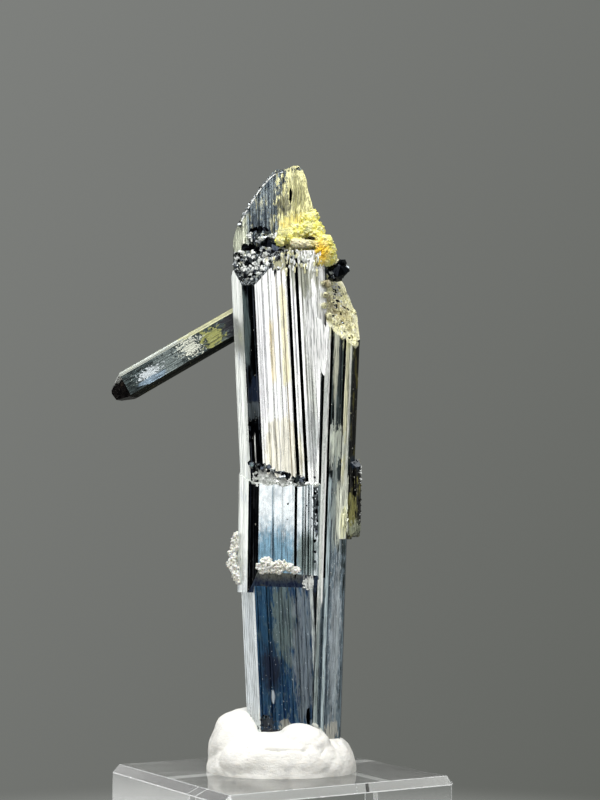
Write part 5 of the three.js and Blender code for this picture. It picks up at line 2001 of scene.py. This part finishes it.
@dataclass(frozen=True)
class MountingPutty:
    """The lump of white putty that the crystals' foot is pressed into.

    lobes are balls (x, y, z and their half sizes), and waves are the unevenness of the skin: how deep each
    layer of it is, and how many waves it has in a millimetre.
    """

    lobes: tuple[tuple[float, ...], ...] = (
        (0.3, -0.4, 0.2, 9.2, 8.3, 5.2),
        (-4.4, 1.0, 2.3, 4.5, 5.8, 5.2),
        (5.3, -0.8, 0.9, 4.3, 6.4, 3.7),
        (0.3, -4.6, 1.7, 7.4, 4.1, 3.5),
        (0.6, 4.2, 1.8, 5.8, 3.8, 4.4),
        (2.9, -5.0, 3.2, 3.4, 2.6, 3.0),
        (-0.4, -5.6, 2.6, 3.6, 2.6, 2.4),
        (0.2, -0.4, 0.2, 9.1, 8.0, 0.6),
    )
    creases: tuple[Crease, ...] = (
        Crease(((-1.8, -8.1, 3.5), (0.0, -8.3, 3.35), (1.6, -8.3, 3.45), (3.3, -8.1, 3.4)), 0.15, 0.42),
        Crease(((3.2, -8.0, 3.3), (4.3, -7.6, 4.2), (5.2, -6.9, 4.8), (5.6, -6.0, 5.2)), 0.3, 0.3),
        Crease(((-7.4, -4.6, 3.6), (-5.6, -6.2, 4.4), (-4.0, -6.8, 4.8), (-2.6, -6.8, 5.3)), 0.3, 0.3),
        Crease(((4.9, -7.4, 2.4), (5.6, -7.0, 3.2), (5.9, -6.6, 3.8)), 0.2, 0.15),
        Crease(((6.8, -5.0, 1.2), (7.4, -4.2, 2.6), (7.3, -3.4, 3.8)), 0.35, 0.2),
    )
    waves: tuple[Pair, ...] = ((0.3, 0.4), (0.05, 1.1), (0.012, 3.1))
    voxel: float = 0.16
    smoothings: int = 7
    seat: float = 0.02

    def build(self) -> bpy.types.Object:
        """Makes and dresses the putty.

        Returns:
            The finished piece.
        """
        lobes = [placed(ball(1.0, 4), radii, centre=(x, y, z)) for x, y, z, *radii in self.lobes]
        solid = melted(lobes, self.voxel, self.smoothings)
        bmesh.ops.recalc_face_normals(solid, faces=solid.faces[:])
        for vertex in solid.verts:
            wave = sum(depth * noise.noise(vertex.co * rate) for depth, rate in self.waves)
            fold = sum(crease.sink(vertex.co) for crease in self.creases)
            vertex.co += vertex.normal * (wave - fold)
        Cut((0.0, 0.0, self.seat), (0.0, 0.0, -1.0), Skin.SILVER).apply(solid)
        frame = specimen_frame()
        return finished_piece("putty_lump", solid, (PuttyFinish().build(frame),), crease=50.0, frame=frame)


@dataclass(frozen=True)
class DisplayBlock:
    """The clear block: a square slab with flat bevels, whose bevels' own edges are just broken."""

    bevel: float = 0.95
    edge_break: float = 0.07

    def build(self) -> bpy.types.Object:
        """Makes and dresses the block.

        Returns:
            The finished piece.
        """
        low, high = (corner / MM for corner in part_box("display_block"))
        slab = bmesh.new()
        bmesh.ops.create_cube(slab, size=1.0)
        placed(slab, high - low, centre=(low + high) / 2)
        for width, rows, slot in ((self.bevel, 1, -1), (self.edge_break, 2, 1)):
            edges = slab.edges[:]
            bmesh.ops.bevel(
                slab, geom=edges, offset=width, segments=rows, profile=0.5, affect="EDGES", material=slot
            )
        frame = Matrix.Scale(MM, 4)
        finishes = tuple(finish.build(frame) for finish in (CLEAR_ACRYLIC, WORN_EDGES))
        block = finished_piece("clear_block", slab, finishes, crease=4.0, frame=frame)
        block.visible_shadow = False  # light passes through clear plastic
        return block


# ------------ studio


@dataclass(frozen=True)
class SoftLight:
    """A rectangular soft light that faces the specimen.

    azimuth is in degrees to the right of straight in front of the specimen's broad side, elevation above its
    middle, size in metres, and radiance how bright its face is.
    """

    name: str
    azimuth: float
    elevation: float
    distance: float
    size: Pair
    radiance: float

    def build(self, middle: Vector) -> None:
        """Puts the light in the scene.

        Args:
            middle: The point that it faces.
        """
        turn = math.radians(self.azimuth) + SPECIMEN_TURN
        rise = math.radians(self.elevation)
        away = Vector((math.sin(turn) * math.cos(rise), -math.cos(turn) * math.cos(rise), math.sin(rise)))
        lamp = bpy.data.lights.new(self.name, "AREA")
        lamp.shape = "RECTANGLE"
        lamp.size, lamp.size_y = self.size
        lamp.energy = self.radiance * math.pi * self.size[0] * self.size[1]
        light = bpy.data.objects.new(self.name, lamp)
        light.location = middle + away * self.distance
        light.rotation_euler = (-away).to_track_quat("-Z", "Y").to_euler()
        light.visible_camera = False
        light.visible_transmission = False
        bpy.context.scene.collection.objects.link(light)


@dataclass(frozen=True)
class Studio:
    """The pale floor, the grey background, the soft lights and the camera."""

    floor_radius: float = 0.9
    floor_corners: int = 96
    floor_color: Triple = (0.46, 0.46, 0.445)
    floor_fade: Pair = (0.04, 0.125)
    background_light: Triple = (0.212, 0.219, 0.208)
    background_dark: Triple = (0.122, 0.128, 0.116)
    shade: Triple = (0.012, 0.013, 0.015)
    fade_across: Pair = (-0.22, 0.22)
    fade_down: Pair = (0.37, -0.17)
    room_front: Pair = (0.15, -0.25)
    room_floor: Pair = (-0.35, -0.15)
    camera_place: Triple = (2.66, -190.9, 25.9)
    camera_pitch: float = 6.12
    focal_length: float = 67.5
    nearest_seen: float = 0.01
    lights: tuple[SoftLight, ...] = (
        SoftLight("front_panel", 2.0, 10.0, 0.6, (0.28, 0.38), 1.7),
        SoftLight("top_panel", -14.0, 60.0, 0.5, (0.46, 0.46), 6.0),
        SoftLight("right_fill", 44.0, 24.0, 0.55, (0.2, 0.2), 2.6),
        SoftLight("right_strip", 93.0, 12.0, 0.55, (0.16, 0.5), 1.0),
        SoftLight("left_back_strip", -127.0, 12.0, 0.55, (0.3, 0.5), 1.6),
        SoftLight("back_panel", 160.0, 42.0, 0.6, (0.34, 0.3), 1.6),
    )

    def floor(self) -> None:
        """Lays the pale floor, which fades into the background away from the specimen."""
        disc = bmesh.new()
        bmesh.ops.create_circle(disc, cap_ends=True, radius=self.floor_radius, segments=self.floor_corners)
        bench = Bench(bpy.data.materials.new("pale_floor"))
        source = bench.node("ShaderNodeTexCoord")
        distance = bench.node("ShaderNodeVectorMath", {0: source.outputs["Object"]}, operation="LENGTH")
        clear = bench.step(distance.outputs["Value"], *self.floor_fade)
        matte = bench.node("ShaderNodeBsdfDiffuse", {"Color": (*self.floor_color, 1.0)}).outputs["BSDF"]
        through = bench.node("ShaderNodeBsdfTransparent").outputs["BSDF"]
        both = bench.node("ShaderNodeMixShader", {0: clear, 1: matte, 2: through}).outputs["Shader"]
        bench.node("ShaderNodeOutputMaterial", {"Surface": both})
        solid_object("floor", disc, (bench.owner,))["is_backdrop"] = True

    def surroundings(self) -> None:
        """Sets a grey background behind the specimen and a dark room in front of it, for its reflections."""
        world = bpy.data.worlds.new("studio")
        bpy.context.scene.world = world
        bench = Bench(world)
        direction = bench.node("ShaderNodeTexCoord").outputs["Generated"]
        inputs = {"Vector": direction, "Rotation": (0.0, 0.0, -SPECIMEN_TURN)}
        turned = bench.node("ShaderNodeMapping", inputs).outputs["Vector"]
        axes = bench.node("ShaderNodeSeparateXYZ", {"Vector": turned}).outputs
        across = bench.step(axes["X"], *self.fade_across, high=0.5, kind="LINEAR")
        down = bench.step(axes["Z"], *self.fade_down, high=0.5, kind="LINEAR")
        backdrop = bench.mix(bench.math("ADD", across, down), self.background_light, self.background_dark)
        reflected = bench.node("ShaderNodeLightPath").outputs["Is Reflection Ray"]
        facing = bench.step(axes["Y"], *self.room_front, kind="LINEAR")
        above = bench.step(axes["Z"], *self.room_floor, kind="LINEAR")
        darkened = bench.math("MULTIPLY", reflected, bench.math("MULTIPLY", facing, above))
        glow = bench.node("ShaderNodeBackground", {"Color": bench.mix(darkened, backdrop, self.shade)})
        bench.node("ShaderNodeOutputWorld", {"Surface": glow.outputs["Background"]})

    def camera(self) -> None:
        """Sets the camera in front of the specimen's broad side, a little above the block and looking up."""
        lens = bpy.data.cameras.new("camera")
        lens.lens = self.focal_length
        lens.clip_start = self.nearest_seen
        camera = bpy.data.objects.new("camera", lens)
        camera.location = specimen_frame() @ Vector(self.camera_place)
        camera.rotation_euler = (math.radians(90 + self.camera_pitch), 0.0, SPECIMEN_TURN)
        bpy.context.scene.collection.objects.link(camera)
        bpy.context.scene.camera = camera

    def build(self) -> None:
        """Sets up the whole studio."""
        self.camera()
        self.floor()
        self.surroundings()
        low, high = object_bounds()
        for light in self.lights:
            light.build((low + high) / 2)
        bpy.context.scene.view_settings.view_transform = "Standard"


def main() -> None:
    """Builds the pieces in order, sets them in the frame and lights them."""
    logging.basicConfig(level=logging.INFO, format="%(name)s: %(message)s")
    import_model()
    pieces = (
        (StibniteCrystals(), "stibnite_crystals", "stibnite"),
        (YELLOW, "yellow_crust", "yellow_crust"),
        (WHITE_EDGE, "white_edge_crust", "white_crust"),
        (WHITE_LEDGE, "white_ledge_crust", "white_crust"),
        (MountingPutty(), "mounting_putty", "mounting_putty"),
        (DisplayBlock(), "display_block", "clear_acrylic"),
    )
    for part, node, slot in pieces:
        piece = part.build()
        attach(piece, "root")
        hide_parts(node)
        LOG.info("%s: %d faces, in place of %s", piece.name, len(piece.data.polygons), node)
    Studio().build()
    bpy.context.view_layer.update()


if __name__ == "__main__":
    main()
